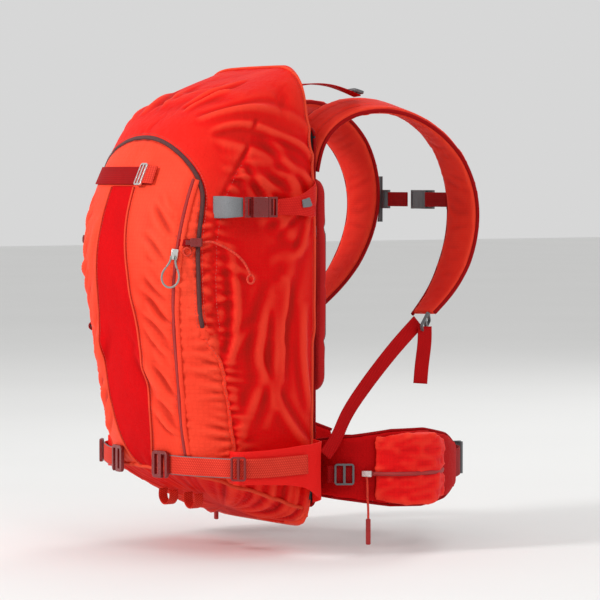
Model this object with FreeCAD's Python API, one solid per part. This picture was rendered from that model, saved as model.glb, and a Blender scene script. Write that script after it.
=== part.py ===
import FreeCAD, Part
import math
import os
from FreeCAD import Vector as V

# Ski touring backpack of about 32 litres, drawn as worn: the bag is closed, the two side loops for
# skis stand open, the shoulder straps keep their curve and the hip belt is unclipped.
#
# Row frame, in millimetres: +Z up, +X to the wearer's right, +Y the way the wearer faces.
# The origin is the middle of the lumbar pad's face, where the pack rests on the wearer's back.

# ---------------------------------------------------------------- driving dimensions
WALL = 3.0  # lined fabric wall of the bag
BACK_Y = -20.0  # outer face of the bag's back wall
GAP = 0.4  # air between layers that are sewn on each other
WEB = 1.6  # webbing thickness
WEB_WIDE = 25.0  # strap webbing width
BELT_WIDE = 38.0  # hip belt webbing width
REAR_SHARE = 0.4  # share of a section's depth behind its widest point
FRONT_POWER = 2.6  # superellipse power of a section's front half
REAR_POWER = 7.0  # superellipse power of its back half
SECTION_POINTS = 28

FOLD_Z = 183.0  # height of the line that the front flap folds about
FLAP_HALF = 127.0  # half width of the flap, to the middle of its zip
FLAP_ARC_Z = 344.0  # where the flap's sides run into its arch
FLAP_TOP_Z = 435.0  # top of the arch
ZIP_SIDE = 2.0  # half width of the flap's zip across its upright runs, seen from the front
ZIP_TOP = 3.0  # and at the top of its arch
FLAP_CLEAR = 2.2  # room over the flap's arch that lets it swing out past the zip

POCKET_ZIP = [(87, 26), (92, 80), (97, 150), (100, 200), (105, 250), (110, 300), (112, 345), (111, 380)]
POCKET_ZIP_HALF = 3.2  # half width of the pocket zip, whose line is given above as (x, z)
SLIDER_Z = 285.0  # where its slider is parked

SKI_LOW_Z = 13.0  # height of the lower ski loops
SKI_HIGH_Z = 345.0  # height of the upper ski straps
SKI_THICK = 26.0  # room that the loops leave for a ski and its skin
FRONT_STRAP_Z = 384.0
KEEPER_Z = 300.0
STERNUM_Z = 352.0

# Bag sections from bottom to top: height at the back wall, tilt of the section's plane in degrees
# (front edge up), depth measured level, and half width.
SECTIONS = [
    (-78, 23, 136, 92),
    (-72, 22, 160, 118),
    (-56, 19, 179, 132),
    (-12, 13, 196, 140),
    (80, 7, 213, 144),
    (190, 3, 229, 147),
    (290, 0, 237, 148),
    (380, -5, 222, 145),
    (450, -10, 197, 132),
    (499, -14, 166, 118),
    (523, -18, 124, 94),
    (531, -22, 68, 58),
]

parts = {}


# ---------------------------------------------------------------- small helpers
def box(x0, x1, y0, y1, z0, z1):
    return Part.makeBox(x1 - x0, y1 - y0, z1 - z0, V(x0, y0, z0))


def mirrored(shape):
    return shape.mirror(V(0, 0, 0), V(1, 0, 0))


def both_sides(shape):
    return [shape, mirrored(shape)]


def vec(v, digits=2):
    return tuple(round(c, digits) for c in v)


def group(shapes):
    solids = []
    for shape in shapes:
        solids += shape.Solids
    return Part.Compound(solids)


def biggest(shape):
    """The largest solid of a cut, so that crumbs at the edges are dropped."""
    return max(shape.Solids, key=lambda solid: solid.Volume)


def placed(shape, origin, along, outward):
    """Moves a shape drawn about the origin so that its X runs along and its Z points outward."""
    x = V(along).normalize()
    z = V(outward)
    z = (z - x * z.dot(x)).normalize()
    y = z.cross(x)
    matrix = FreeCAD.Matrix(
        x.x, y.x, z.x, origin.x, x.y, y.y, z.y, origin.y, x.z, y.z, z.z, origin.z, 0, 0, 0, 1
    )
    moved = shape.copy()
    moved.transformShape(matrix)
    return moved


def polygon_prism_xz(points, y0, y1):
    """A solid of an outline given as (x, z), from y0 to y1."""
    corners = [V(x, y0, z) for x, z in points]
    face = Part.Face(Part.makePolygon(corners + [corners[0]]))
    return face.extrude(V(0, y1 - y0, 0))


def smooth_path(points, stations):
    curve = Part.BSplineCurve()
    curve.interpolate(points)
    first, last = curve.FirstParameter, curve.LastParameter
    steps = [first + (last - first) * i / (stations - 1) for i in range(stations)]
    return [curve.value(s) for s in steps], [V(*curve.tangent(s)[0]) for s in steps]


def blended(values, share):
    """Linear interpolation in a short list, with share running from 0 to 1."""
    place = share * (len(values) - 1)
    low = min(int(place), len(values) - 2)
    return values[low] + (values[low + 1] - values[low]) * (place - low)


def ribbon(points, across, widths, thicks, stations=9):
    """A strap whose inner face follows the points. across is its width direction at each end, and
    it stands out by its thickness on the side of across x travel."""
    path, tangents = smooth_path([V(*p) for p in points], stations)
    wires = []
    for i in range(stations):
        share = i / (stations - 1)
        side = blended([V(*a) for a in across], share).normalize()
        out = side.cross(tangents[i]).normalize()
        side = tangents[i].cross(out).normalize()
        half = blended(widths, share) / 2
        thick = blended(thicks, share)
        low, high = path[i] - side * half, path[i] + side * half
        ring = [low, high, high + out * thick, low + out * thick]
        wires.append(Part.makePolygon(ring + [ring[0]]))
    return Part.makeLoft(wires, True, False)


def cord_tube(points, radius, sweep_share=0.45):
    """A tube along straight runs joined by tangent arcs, each as large as its two runs allow."""
    knots = [V(*p) for p in points]
    edges = []
    start = knots[0]
    radii = []
    for a, b, c in zip(knots, knots[1:], knots[2:]):
        into, away = (b - a), (c - b)
        turn = into.getAngle(away)
        run = min(into.Length, away.Length)
        trim = run * sweep_share
        radii.append(trim / math.tan(turn / 2))
        first = b - V(into).normalize() * trim
        last = b + V(away).normalize() * trim
        inward = (V(away).normalize() - V(into).normalize()).normalize()
        reach = radii[-1] / math.cos(turn / 2) - radii[-1]
        edges.append(Part.LineSegment(start, first).toShape())
        edges.append(Part.Arc(first, b + inward * reach, last).toShape())
        start = last
    edges.append(Part.LineSegment(start, knots[-1]).toShape())
    print("cord bend radii", [round(r, 1) for r in radii])
    wire = Part.Wire(edges)
    ring = Part.Wire(Part.makeCircle(radius, knots[0], knots[1] - knots[0]))
    tube = wire.makePipeShell([ring], True, False, 2)
    share = tube.Volume / (math.pi * radius**2 * wire.Length)
    print("cord volume over section times length", round(share, 3))
    return tube.Solids[0] if tube.Solids else Part.Solid(tube)


# ---------------------------------------------------------------- the bag's outer shape
def section_ring(back_z, tilt, depth, half):
    """Evenly spaced points of one level of the bag, on a tilted plane."""
    angle = math.radians(tilt)
    length = depth / math.cos(angle)
    forward = V(0, -math.cos(angle), math.sin(angle))
    widest = V(0, BACK_Y, back_z) + forward * (length * REAR_SHARE)
    dense = []
    for i in range(1441):
        turn = math.pi / 2 + 2 * math.pi * i / 1440
        c, s = math.cos(turn), math.sin(turn)
        power = FRONT_POWER if s > 0 else REAR_POWER
        reach = length * (1 - REAR_SHARE) if s > 0 else length * REAR_SHARE
        x = half * math.copysign(abs(c) ** (2 / power), c)
        d = reach * math.copysign(abs(s) ** (2 / power), s)
        dense.append(widest + V(x, 0, 0) + forward * d)
    lengths = [0.0]
    for p, q in zip(dense, dense[1:]):
        lengths.append(lengths[-1] + (q - p).Length)
    ring = []
    spot = 0
    for i in range(SECTION_POINTS):
        goal = lengths[-1] * i / SECTION_POINTS
        while lengths[spot + 1] < goal:
            spot += 1
        share = (goal - lengths[spot]) / (lengths[spot + 1] - lengths[spot])
        ring.append(dense[spot] + (dense[spot + 1] - dense[spot]) * share)
    return ring


def grown_grid(grow):
    """The grid of section points moved outward by grow along the surface's normal."""
    grid = [section_ring(*section) for section in SECTIONS]
    rows, count = len(grid), SECTION_POINTS
    moved = []
    for i, ring in enumerate(grid):
        middle = sum(ring[1:], ring[0]) * (1 / count)
        flat = (ring[0] - middle).cross(ring[count // 4] - middle).normalize()
        new_ring = []
        for j, point in enumerate(ring):
            around = ring[(j + 1) % count] - ring[j - 1]
            if i in (0, rows - 1):
                outward = around.cross(flat).normalize()
                outward = outward if outward.dot(point - middle) > 0 else outward * -1
                cap = V(0, 0, -1) if i == 0 else V(0, 0, 1)
                lift = flat if flat.dot(cap) > 0 else flat * -1
                new_ring.append(point + (outward + lift) * grow)
                continue
            along = (grid[i + 1][j] - point).normalize() + (point - grid[i - 1][j]).normalize()
            normal = around.cross(along).normalize()
            normal = normal if normal.dot(point - middle) > 0 else normal * -1
            new_ring.append(point + normal * grow)
        moved.append(new_ring)
    return moved


def bag_solid(grow):
    """Solid bounded by a smooth surface through the grown grid and two flat end caps."""
    grid = grown_grid(grow)
    count = SECTION_POINTS
    around = [i / count for i in range(count + 1)]
    rows = []
    for ring in grid:
        curve = Part.BSplineCurve()
        curve.interpolate(Points=ring, PeriodicFlag=True, Parameters=around)
        rows.append(curve)
    columns = []
    for j in range(rows[0].NbPoles):
        curve = Part.BSplineCurve()
        curve.interpolate(Points=[row.getPole(j + 1) for row in rows], Parameters=LEVELS)
        columns.append(curve)
    surface = Part.BSplineSurface()
    surface.buildFromPolesMultsKnots(
        [column.getPoles() for column in columns],
        rows[0].getMultiplicities(),
        columns[0].getMultiplicities(),
        rows[0].getKnots(),
        columns[0].getKnots(),
        True,
        False,
        rows[0].Degree,
        columns[0].Degree,
    )
    side = surface.toShape()
    caps = [Part.Face(Part.Wire(surface.vIso(v).toShape())) for v in (LEVELS[0], LEVELS[-1])]
    skin = Part.makeShell([side] + caps)
    skin.sewShape()
    solid = Part.Solid(skin if skin.ShapeType == "Shell" else skin.Shells[0])
    if solid.Volume < 0:
        solid.reverse()
    return solid


def level_parameters():
    """Section parameters from the mean distance between neighbouring sections."""
    grid = [section_ring(*section) for section in SECTIONS]
    values = [0.0]
    for low, high in zip(grid, grid[1:]):
        values.append(values[-1] + sum((q - p).Length for p, q in zip(low, high)) / SECTION_POINTS)
    return [value / values[-1] for value in values]


LEVELS = level_parameters()


def flap_prism(side, over, low):
    """The front flap's outline as a solid along Y: straight sides and a half-elliptic arch."""
    half, rise = FLAP_HALF + side, FLAP_TOP_Z + over - FLAP_ARC_Z
    corners = [(-half, low), (-half, FLAP_ARC_Z), (half, FLAP_ARC_Z), (half, low)]
    a, b, c, d = [V(x, -320, z) for x, z in corners]
    centre = V(0, -320, FLAP_ARC_Z)
    if half > rise:
        ellipse = Part.Ellipse(V(half, -320, FLAP_ARC_Z), V(0, -320, FLAP_ARC_Z + rise), centre)
    else:
        ellipse = Part.Ellipse(V(0, -320, FLAP_ARC_Z + rise), V(half, -320, FLAP_ARC_Z), centre)
    first, last = sorted((ellipse.parameter(b), ellipse.parameter(c)))
    arch = Part.ArcOfEllipse(ellipse, first, last)
    if arch.value((first + last) / 2).z < FLAP_ARC_Z:
        arch = Part.ArcOfEllipse(ellipse, last, first + 2 * math.pi)
    lines = [Part.LineSegment(a, b), Part.LineSegment(c, d), Part.LineSegment(d, a)]
    wire = Part.Wire(Part.__sortEdges__([arch.toShape()] + [line.toShape() for line in lines]))
    return Part.Face(wire).extrude(V(0, 220, 0))


def surface_point(outer, x, z, grow=0.0):
    """The front face of the bag at x and z, and its outward normal."""

    def depth(px, pz):
        line = Part.makeLine(V(px, -330, pz), V(px, -110, pz))
        return min(v.Point.y for v in outer.common(line).Vertexes)

    step = 4.0
    y = depth(x, z)
    slope_x = (depth(x + step, z) - depth(x - step, z)) / (2 * step)
    slope_z = (depth(x, z + step) - depth(x, z - step)) / (2 * step)
    normal = V(slope_x, -1, slope_z).normalize()
    return V(x, y, z) + normal * grow, normal


def side_point(outer, y, z):
    """The right-hand face of the bag at y and z."""
    line = Part.makeLine(V(60, y, z), V(230, y, z))
    return V(max(v.Point.x for v in outer.common(line).Vertexes), y, z)


outer = bag_solid(0)
shell = outer.cut(bag_solid(-WALL))
layer = bag_solid(1.6).cut(bag_solid(GAP))
print("bag volume in litres", round(outer.Volume / 1e6, 1))


# ---------------------------------------------------------------- sewn panels of the bag
def make_shell_panels():
    hole = flap_prism(ZIP_SIDE + GAP, ZIP_TOP + GAP, FOLD_Z - GAP)
    flap = flap_prism(-ZIP_SIDE - GAP, -ZIP_TOP - FLAP_CLEAR, FOLD_Z + GAP)
    band = flap_prism(ZIP_SIDE, ZIP_TOP, FOLD_Z + GAP)
    band = band.cut(flap_prism(-ZIP_SIDE, -ZIP_TOP, FOLD_Z - 1))
    parts["front_flap"] = biggest(shell.common(flap))
    parts["root_zips"] = biggest(shell.common(band))
    body = shell.cut(hole)
    front_cut = box(-118, 118, -330, -120, 32, FOLD_Z)
    floor_cut = polygon_side([(40, -160), (40, -56), (-330, 34), (-330, -160)], -200, 200)
    back_cut = box(-130, 130, -36, 0, -57, 470)
    top_cut = polygon_side([(40, 470), (-200, 400), (-330, 400), (-330, 600), (40, 600)], -200, 200)
    parts["front_lower_panel"] = biggest(body.common(front_cut).cut(floor_cut))
    parts["bottom_panel"] = biggest(body.common(floor_cut))
    parts["back_panel"] = biggest(body.common(back_cut).cut(floor_cut).cut(top_cut))
    parts["top_panel"] = biggest(body.common(top_cut))
    rest = body.cut(front_cut).cut(floor_cut).cut(back_cut).cut(top_cut)
    parts["side_panel_right"] = biggest(rest.common(box(1, 300, -400, 100, -200, 700)))
    parts["side_panel_left"] = mirrored(parts["side_panel_right"])


def polygon_side(points, x0, x1):
    """A solid of an outline given as (y, z), from x0 to x1."""
    corners = [V(x0, y, z) for y, z in points]
    face = Part.Face(Part.makePolygon(corners + [corners[0]]))
    return face.extrude(V(x1 - x0, 0, 0))


def leaf_outline(low, high):
    """The scuff panel down the middle of the front: narrow at the top, widest low down."""
    rows = [(4, 12), (20, 26), (60, 42), (110, 48), (183, 46), (260, 38), (330, 30), (380, 27)]
    inside = [(z, half) for z, half in rows if low < z < high]

    def half_at(z):
        for (z0, h0), (z1, h1) in zip(rows, rows[1:]):
            if z0 <= z <= z1:
                return h0 + (h1 - h0) * (z - z0) / (z1 - z0)
        return rows[-1][1]

    inside = [(low, half_at(low))] + inside + [(high, half_at(high))]
    right = [(half, z) for z, half in inside]
    return right + [(-x, z) for x, z in reversed(right)]


def make_front_details():
    upper = polygon_prism_xz(leaf_outline(FOLD_Z + 2, 370), -320, -150)
    lower = polygon_prism_xz(leaf_outline(5, FOLD_Z - 2), -320, -110)
    parts["scuff_panel_upper"] = biggest(layer.common(upper))
    parts["scuff_panel_lower"] = biggest(layer.common(lower))
    # boot flap: a second skin over the front of the floor
    boot = bag_solid(4.0).cut(bag_solid(2.0))
    cutter = polygon_side([(-60, -120), (-110, -25), (-330, 52), (-330, -120)], -100, 100)
    parts["boot_flap"] = biggest(boot.common(cutter))


def make_inside():
    parts["frame_sheet"] = box(-112, 112, -19.4, -17.6, -40, 440)
    stay = box(-13, 13, -27.0, -24.0, -30, 430)
    parts["frame_stay"] = stay.makeFillet(1.0, [e for e in stay.Edges if abs(e.Length - 460) < 1])
    pad = box(18, 129, -17.2, -1, 100, 384)
    pad = pad.makeFillet(24, [e for e in pad.Edges if abs(e.Length - 16.2) < 0.01])
    pad = pad.makeFillet(9, [e for e in pad.Edges if e.CenterOfMass.y > -1.5])
    parts["back_pads"] = group(both_sides(pad))
    lumbar = box(-78, 78, -17.2, 0, -42, 62)
    lumbar = lumbar.makeFillet(18, [e for e in lumbar.Edges if abs(e.Length - 17.2) < 0.01])
    parts["lumbar_pad"] = lumbar.makeFillet(8, [e for e in lumbar.Edges if e.CenterOfMass.y > -0.5])


# ---------------------------------------------------------------- buckles and adjusters
def buckle_female(width):
    """Socket half. The tongue enters from +X; the webbing bar is at -X; Z is outward."""
    long, half, thick = 1.15 * width, width / 2 + 3.0, 0.17 * width + 2.2
    block = box(0, long, -half, half, -thick, thick)
    block = block.makeFillet(2.0, [e for e in block.Edges if abs(e.Length - long) < 0.01])
    cavity = box(5, long + 1, -half + 2.2, half - 2.2, -thick + 1.6, thick - 1.6)
    block = block.cut(cavity)
    window = box(7, long - 7, -half - 1, half + 1, -thick + 1.6, thick - 1.6)
    block = block.cut(window)
    bar = box(-9, 0.5, -half, half, -2.0, 2.0).cut(box(-6, -1.5, -width / 2 - 0.5, width / 2 + 0.5, -3, 3))
    return block.fuse(bar).removeSplitter()


def buckle_male(width, adjuster=True):
    """Tongue half, in the place it has inside the socket: arms, guide tongue and strap frame."""
    long, half, thick = 1.15 * width, width / 2 + 3.0, 0.17 * width + 2.2
    inner = thick - 2.0
    flange = box(long + 0.5, long + 4.5, -half, half, -thick, thick)
    pieces = [flange, box(long - 0.45 * width, long + 1, -width / 10, width / 10, -inner * 0.7, inner * 0.7)]
    tip = 7.5
    for side in (-1, 1):
        arm = Part.makePolygon(
            [
                V(long + 1, side * (half - 6.2), -inner),
                V(long - 7.5, side * (half - 5.2), -inner),
                V(long - 8.5, side * (half - 2.6), -inner),
                V(tip + 5, side * (half - 2.6), -inner),
                V(tip, side * (half - 6.0), -inner),
                V(tip + 1, side * (half - 7.6), -inner),
                V(long - 9, side * (half - 7.6), -inner),
                V(long + 1, side * (half - 9.0), -inner),
                V(long + 1, side * (half - 6.2), -inner),
            ]
        )
        pieces.append(Part.Face(arm).extrude(V(0, 0, 2 * inner)))
    frame_long = 13 if adjuster else 9
    frame = box(long + 4, long + 4 + frame_long, -half, half, -2.0, 2.0)
    frame = frame.cut(box(long + 5.5, long + 9, -width / 2 - 0.5, width / 2 + 0.5, -3, 3))
    if adjuster:
        frame = frame.cut(box(long + 11, long + 14.5, -width / 2 - 0.5, width / 2 + 0.5, -3, 3))
    pieces.append(frame)
    whole = pieces[0]
    for piece in pieces[1:]:
        whole = whole.fuse(piece)
    return whole.removeSplitter()


def tri_glide(width, long=20.0, thick=3.6):
    """Flat adjuster with two slots and a middle bar, centred on the origin."""
    half = width / 2 + 3.0
    plate = box(-long / 2, long / 2, -half, half, 0, thick)
    plate = plate.makeFillet(4.0, [e for e in plate.Edges if abs(e.Length - thick) < 0.01])
    for x in (-long / 2 + 2.6, 1.6):
        plate = plate.cut(box(x, x + long / 2 - 4.2, -width / 2 - 0.6, width / 2 + 0.6, -1, thick + 1))
    return plate


def hook_buckle(width):
    """Hook that drops over a webbing loop: a strap slot, a cross bar and an open slot."""
    half = width / 2 + 5.0
    plate = box(-15, 15, -half, half, 0, 4.6)
    plate = plate.makeFillet(6.0, [e for e in plate.Edges if abs(e.Length - 4.6) < 0.01])
    plate = plate.cut(box(-10.5, -3.5, -width / 2 - 0.6, width / 2 + 0.6, -1, 6))
    plate = plate.cut(box(3.5, 9.5, -width / 2 - 0.6, width / 2 + 0.6, -1, 6))
    return plate.cut(box(-10.5, -3.5, width / 2 - 4, half + 2, -1, 6))


# ---------------------------------------------------------------- ski straps
def make_ski_straps():
    """Upper straps, each closed by a release buckle round the room for a ski."""
    rear = side_point(outer, -38, SKI_HIGH_Z)
    front = side_point(outer, -186, SKI_HIGH_Z)
    away = 148 + SKI_THICK
    tab = ribbon(
        [
            (front.x + 2.0, -186, SKI_HIGH_Z),
            (front.x + 13, -187, SKI_HIGH_Z),
            (away - 9, -182, SKI_HIGH_Z),
            (away - 1.6, -168, SKI_HIGH_Z),
        ],
        [(0, 0, 1)] * 2,
        [26, 26, 24],
        [2.2, 2.2],
    )
    seat = V(away + 4.6, -160, SKI_HIGH_Z)
    along, outward = V(-0.02, 1, 0), V(1, 0.02, 0)
    female = placed(buckle_female(20), seat, along, outward)
    male = placed(buckle_male(20), seat, along, outward)
    parts["ski_buckle_sockets"] = group(both_sides(female))
    parts["ski_buckle_tongue_right"] = male
    parts["ski_buckle_tongue_left"] = mirrored(male)
    webbing = ribbon(
        [
            (rear.x + 4.2, -38, SKI_HIGH_Z + 12),
            (rear.x + 13, -42, SKI_HIGH_Z + 9),
            (away - 6, -62, SKI_HIGH_Z + 4),
            (away - 2.4, -84, SKI_HIGH_Z + 1),
            (away - 2.4, -112, SKI_HIGH_Z),
        ],
        [(0, 0, -1)] * 2,
        [46, 38, 24, 20],
        [WEB, WEB],
        12,
    )
    parts["ski_upper_straps"] = group(both_sides(tab) + both_sides(webbing))


def level_point(x, z, lift):
    """A point off the front of the bag, moved out level, and the level outward direction there."""
    point, normal = surface_point(outer, x, z)
    level = V(normal.x, normal.y, 0).normalize()
    return point + level * lift, level


def make_ski_bands():
    """Lower loops: a wide band round the ski's room, and a strap from it to a hook on the front."""
    out = 146 + SKI_THICK
    z = SKI_LOW_Z
    corner, level = level_point(128, z, 5.6)
    band = ribbon(
        [
            (side_point(outer, -32, 0).x + 2.0, -32, z - 12),
            (157, -36, z - 9),
            (out, -58, z - 3),
            (out + 3, -100, z),
            (out - 4, -142, z),
            tuple(corner + level * 14 + V(9, 3, 0)),
            tuple(corner),
        ],
        [(0, 0, -1)] * 2,
        [84, 74, 56, 48, 44, 42, 40],
        [2.2, 2.2],
        15,
    )
    parts["ski_bands"] = group(both_sides(band))
    on_band = [V(out + 7.2, -72, z + 2), V(out + 6.8, -104, z + 1), V(out + 0.4, -144, z)]
    turn = V(out - 13, -168, z)
    run = [level_point(x, z, lift)[0] for x, lift in ((112, 15), (84, 10), (52, 7))]
    strap = ribbon(
        [tuple(p) for p in on_band + [turn] + run],
        [(0, 0, -1)] * 2,
        [WEB_WIDE, WEB_WIDE],
        [WEB, WEB],
        18,
    )
    parts["ski_lower_straps"] = group(both_sides(strap))
    glide = placed(tri_glide(WEB_WIDE), turn + V(4.4, -1.0, 0), V(-0.76, -0.65, 0), V(0.65, -0.76, 0))
    point, level = level_point(50, z, 9.4)
    hook = placed(hook_buckle(WEB_WIDE), point, V(0, 0, 1).cross(level) * -1, level)
    parts["ski_hooks"] = group(both_sides(hook))
    return [glide]


# ---------------------------------------------------------------- flap hardware
def circle_through(a, b, c):
    """Centre, as (y, z), of the circle through three points of one upright plane."""
    d = 2 * (a.y * (b.z - c.z) + b.y * (c.z - a.z) + c.y * (a.z - b.z))
    aa, bb, cc = a.y**2 + a.z**2, b.y**2 + b.z**2, c.y**2 + c.z**2
    y = (aa * (b.z - c.z) + bb * (c.z - a.z) + cc * (a.z - b.z)) / d
    z = (aa * (c.y - b.y) + bb * (a.y - c.y) + cc * (b.y - a.y)) / d
    return y, z


def zip_strip(line, low, high, half):
    """Outline as (x, z) of a strip of constant width along part of a line."""
    def x_at(z):
        for (x0, z0), (x1, z1) in zip(line, line[1:]):
            if z0 <= z <= z1:
                return x0 + (x1 - x0) * (z - z0) / (z1 - z0)
        return line[-1][0]

    levels = [low] + [z for _, z in line if low < z < high] + [high]
    right = [(x_at(z) + half, z) for z in levels]
    left = [(x_at(z) - half, z) for z in reversed(levels)]
    return right + left


def make_pocket_zip():
    """Pocket zip down the front's right side. Its slider rides a round track over the bulge."""
    low, high = POCKET_ZIP[0][1], POCKET_ZIP[-1][1]
    lower = zip_strip(POCKET_ZIP, low, FOLD_Z - 3, POCKET_ZIP_HALF)
    upper = zip_strip(POCKET_ZIP, FOLD_Z + 3, high, POCKET_ZIP_HALF)
    lower = biggest(layer.common(polygon_prism_xz(lower, -320, -120)))
    parts["root_zips"] = group([parts["root_zips"], lower])
    parts["pocket_zip_upper"] = biggest(layer.common(polygon_prism_xz(upper, -320, -120)))
    corners = zip_strip(POCKET_ZIP, SLIDER_Z, SLIDER_Z + 10, 0)
    x = corners[0][0]
    slope = (corners[1][0] - x) / 10
    track = [surface_point(outer, x + slope * s, SLIDER_Z + s, 1.6) for s in (-60, 0, 60)]
    ends = track[2][0] - track[0][0]
    up = V(ends).normalize()
    seat, normal = track[1]
    normal = (normal - up * normal.dot(up)).normalize()
    side = normal.cross(up).normalize()
    flat = [V(0, (p - seat).dot(normal), (p - seat).dot(up)) for p, _ in track]
    bulge, rise = circle_through(*flat)
    centre = seat + normal * bulge + up * rise
    radius = (seat - centre).dot(normal)
    drift = []
    for s in range(-60, 61, 20):
        point, _ = surface_point(outer, x + slope * s, SLIDER_Z + s, 1.6)
        across = point - centre
        drift.append((across - side * across.dot(side)).Length - abs(bulge) + 0.0)
    print("pocket zip track centre", vec(centre), "axis", vec(side, 4), "radius", round(radius, 1))
    print("pocket zip track drift", [round(d, 2) for d in drift])
    lift = max(drift) - drift[3] + GAP + 0.2
    seat = seat + normal * lift
    slider = box(-7, 7, -4.5, 4.5, 0, 3.6)
    slider = slider.makeFillet(1.2, [e for e in slider.Edges if e.CenterOfMass.z > 3.5])
    stud = box(-6.5, -1.0, -1.5, 1.5, 3.0, 7.4)
    stud = stud.cut(Part.makeCylinder(1.5, 6, V(-3.8, -3, 5.2), V(0, 1, 0)))
    parts["pocket_zip_slider"] = placed(slider.fuse(stud).removeSplitter(), seat, up, normal)
    pull = pear_ring()
    pull.translate(V(-3.8, 0, 5.2))
    parts["pocket_pull"] = placed(pull, seat, up, normal)
    pivot = seat + up * -3.8 + normal * 5.2
    print("pocket pull pivot", vec(pivot), "axis", vec(side, 4))


def pear_ring():
    """A pear-shaped ring that hangs from a pin along Y at the origin, down along -X."""
    points = [
        V(0, -3.2, 0),
        V(-8, -4.5, 0),
        V(-22, -11, 0),
        V(-34, -8.5, 0),
        V(-38.5, 0, 0),
        V(-34, 8.5, 0),
        V(-22, 11, 0),
        V(-8, 4.5, 0),
        V(0, 3.2, 0),
    ]
    curve = Part.BSplineCurve()
    curve.interpolate(points)
    start = V(*curve.tangent(curve.FirstParameter)[0])
    section = Part.Wire(Part.makeCircle(1.3, points[0], start))
    ring = Part.Wire(curve.toShape()).makePipeShell([section], True, True, 2)
    pull = ring.Solids[0] if ring.Solids else Part.Solid(ring)
    pull = pull.fuse(Part.makeCylinder(1.2, 6.4, V(0, -3.2, 0), V(0, 1, 0)))
    for y in (-3.2, 3.2):
        pull = pull.fuse(Part.makeSphere(1.5, V(0, y, 0)))
    return biggest(pull)


def make_front_strap():
    """Short strap across the top of the flap, with its adjuster."""
    cutter = box(-96, 60, -320, -150, FRONT_STRAP_Z - WEB_WIDE / 2, FRONT_STRAP_Z + WEB_WIDE / 2)
    lift = bag_solid(3.6).cut(bag_solid(2.0))
    parts["front_strap"] = biggest(lift.common(cutter))
    point, normal = surface_point(outer, 40, FRONT_STRAP_Z, 4.4)
    glide = placed(tri_glide(WEB_WIDE, 16), point, V(1, 0, 0), normal)
    parts["front_strap_buckle"] = glide


def make_keepers():
    """Elastic shaft keepers: a cord loop, a cord lock with its button, and a free tail."""
    origin, normal = surface_point(outer, 122, KEEPER_Z, 6.5)
    side = V(0, 0, 1).cross(normal).normalize()
    if side.x < 0:
        side = side * -1
    across = V(side)
    lock = box(0, 15, -5.5, 5.5, -4.5, 4.5)
    lock = lock.makeFillet(1.5, lock.Edges)
    lock = lock.cut(box(-1, 11, -3.4, 3.4, -2.9, 2.9))
    button = box(-6, 6.5, -3.0, 3.0, -2.5, 2.5)
    lock_at = placed(lock, origin, across, normal)
    button_at = placed(button, origin, across, normal)
    parts["cord_locks"] = group(both_sides(lock_at))
    parts["cord_lock_button_right"] = button_at
    parts["cord_lock_button_left"] = mirrored(button_at)
    print("cord lock axis", tuple(round(c, 4) for c in across), "at", origin, "normal", normal)

    # a small elastic loop hangs under the lock, the free tail leaves its outer end
    def at(a, b, c):
        return origin + across * a + V(0, 0, 1) * b + normal * c

    start = at(-3.4, -11.6, -2.4)
    loop = Part.makeTorus(5.0, 1.4, start, normal)
    parts["keeper_loops"] = group(both_sides(loop))
    ring_end = at(15.4, 0, 0)
    tail = [
        ring_end,
        at(26, 2, 2.5),
        at(38, -3, 3.5),
        at(50, -9, 2),
        at(61, -17, 3),
        at(71, -28, 1),
        at(76, -41, 0.5),
    ]
    print("tail points", [tuple(round(c, 1) for c in p) for p in tail])
    parts["keeper_tail_right"] = cord_tube([tuple(p) for p in tail], 1.5)
    parts["keeper_tail_left"] = mirrored(parts["keeper_tail_right"])


def make_tool_loops():
    """Two webbing loops under the front edge that take an axe head or a pole basket."""
    loops = []
    for x, y in ((30, -150), (-30, -150)):
        column = outer.common(Part.makeLine(V(x, y, -150), V(x, y, 200)))
        z = min(v.Point.z for v in column.Vertexes) - 8.0
        path = [(x - 11, y, z), (x - 12, y, z - 9), (x, y, z - 18), (x + 12, y, z - 9), (x + 11, y, z)]
        loops.append(ribbon(path, [(0, 1, 0)] * 2, [14, 14], [1.4, 1.4], 15))
    parts["tool_loops"] = group(loops)


def make_front_zip_slider():
    """Slider of the flap's zip, parked at the foot of its left side."""
    low, normal = surface_point(outer, -FLAP_HALF, 215)
    high, _ = surface_point(outer, -FLAP_HALF, 275)
    along = (high - low).normalize()
    body = box(-7, 7, -4.5, 4.5, 2.2, 5.6)
    body = body.makeFillet(1.2, [e for e in body.Edges if e.CenterOfMass.z > 5.5])
    tab = box(-34, -4, -2.5, 2.5, 6.0, 7.6).fuse(box(-4, 1, -1.5, 1.5, 5.0, 7.6))
    slider = body.fuse(tab).removeSplitter()
    parts["front_zip_slider"] = placed(slider, low, along, normal)
    print("front zip slider axis", tuple(round(c, 4) for c in along), "low", low)


# ---------------------------------------------------------------- harness
STRAP_PATH = [
    (64, 1.5, 392),
    (68, 14, 432),
    (77, 52, 464),
    (88, 104, 472),
    (97, 158, 456),
    (105, 204, 416),
    (112, 227, 352),
    (119, 216, 288),
    (126, 182, 234),
    (130, 150, 204),
]
STRAP_ACROSS = [(1, 0, 0.0), (0.97, 0, -0.2), (0.95, 0, -0.3), (0.98, -0.05, -0.15), (1, -0.05, 0)]
STRAP_WIDE = [84, 74, 70, 68, 66, 62, 46]
STRAP_THICK = [11, 12, 13, 12, 9]


def outer_face_y(shape, x, z):
    """How far forward a shape reaches at x and z."""
    line = Part.makeLine(V(x, 100, z), V(x, 300, z))
    return max(v.Point.y for v in shape.common(line).Vertexes)


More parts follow.
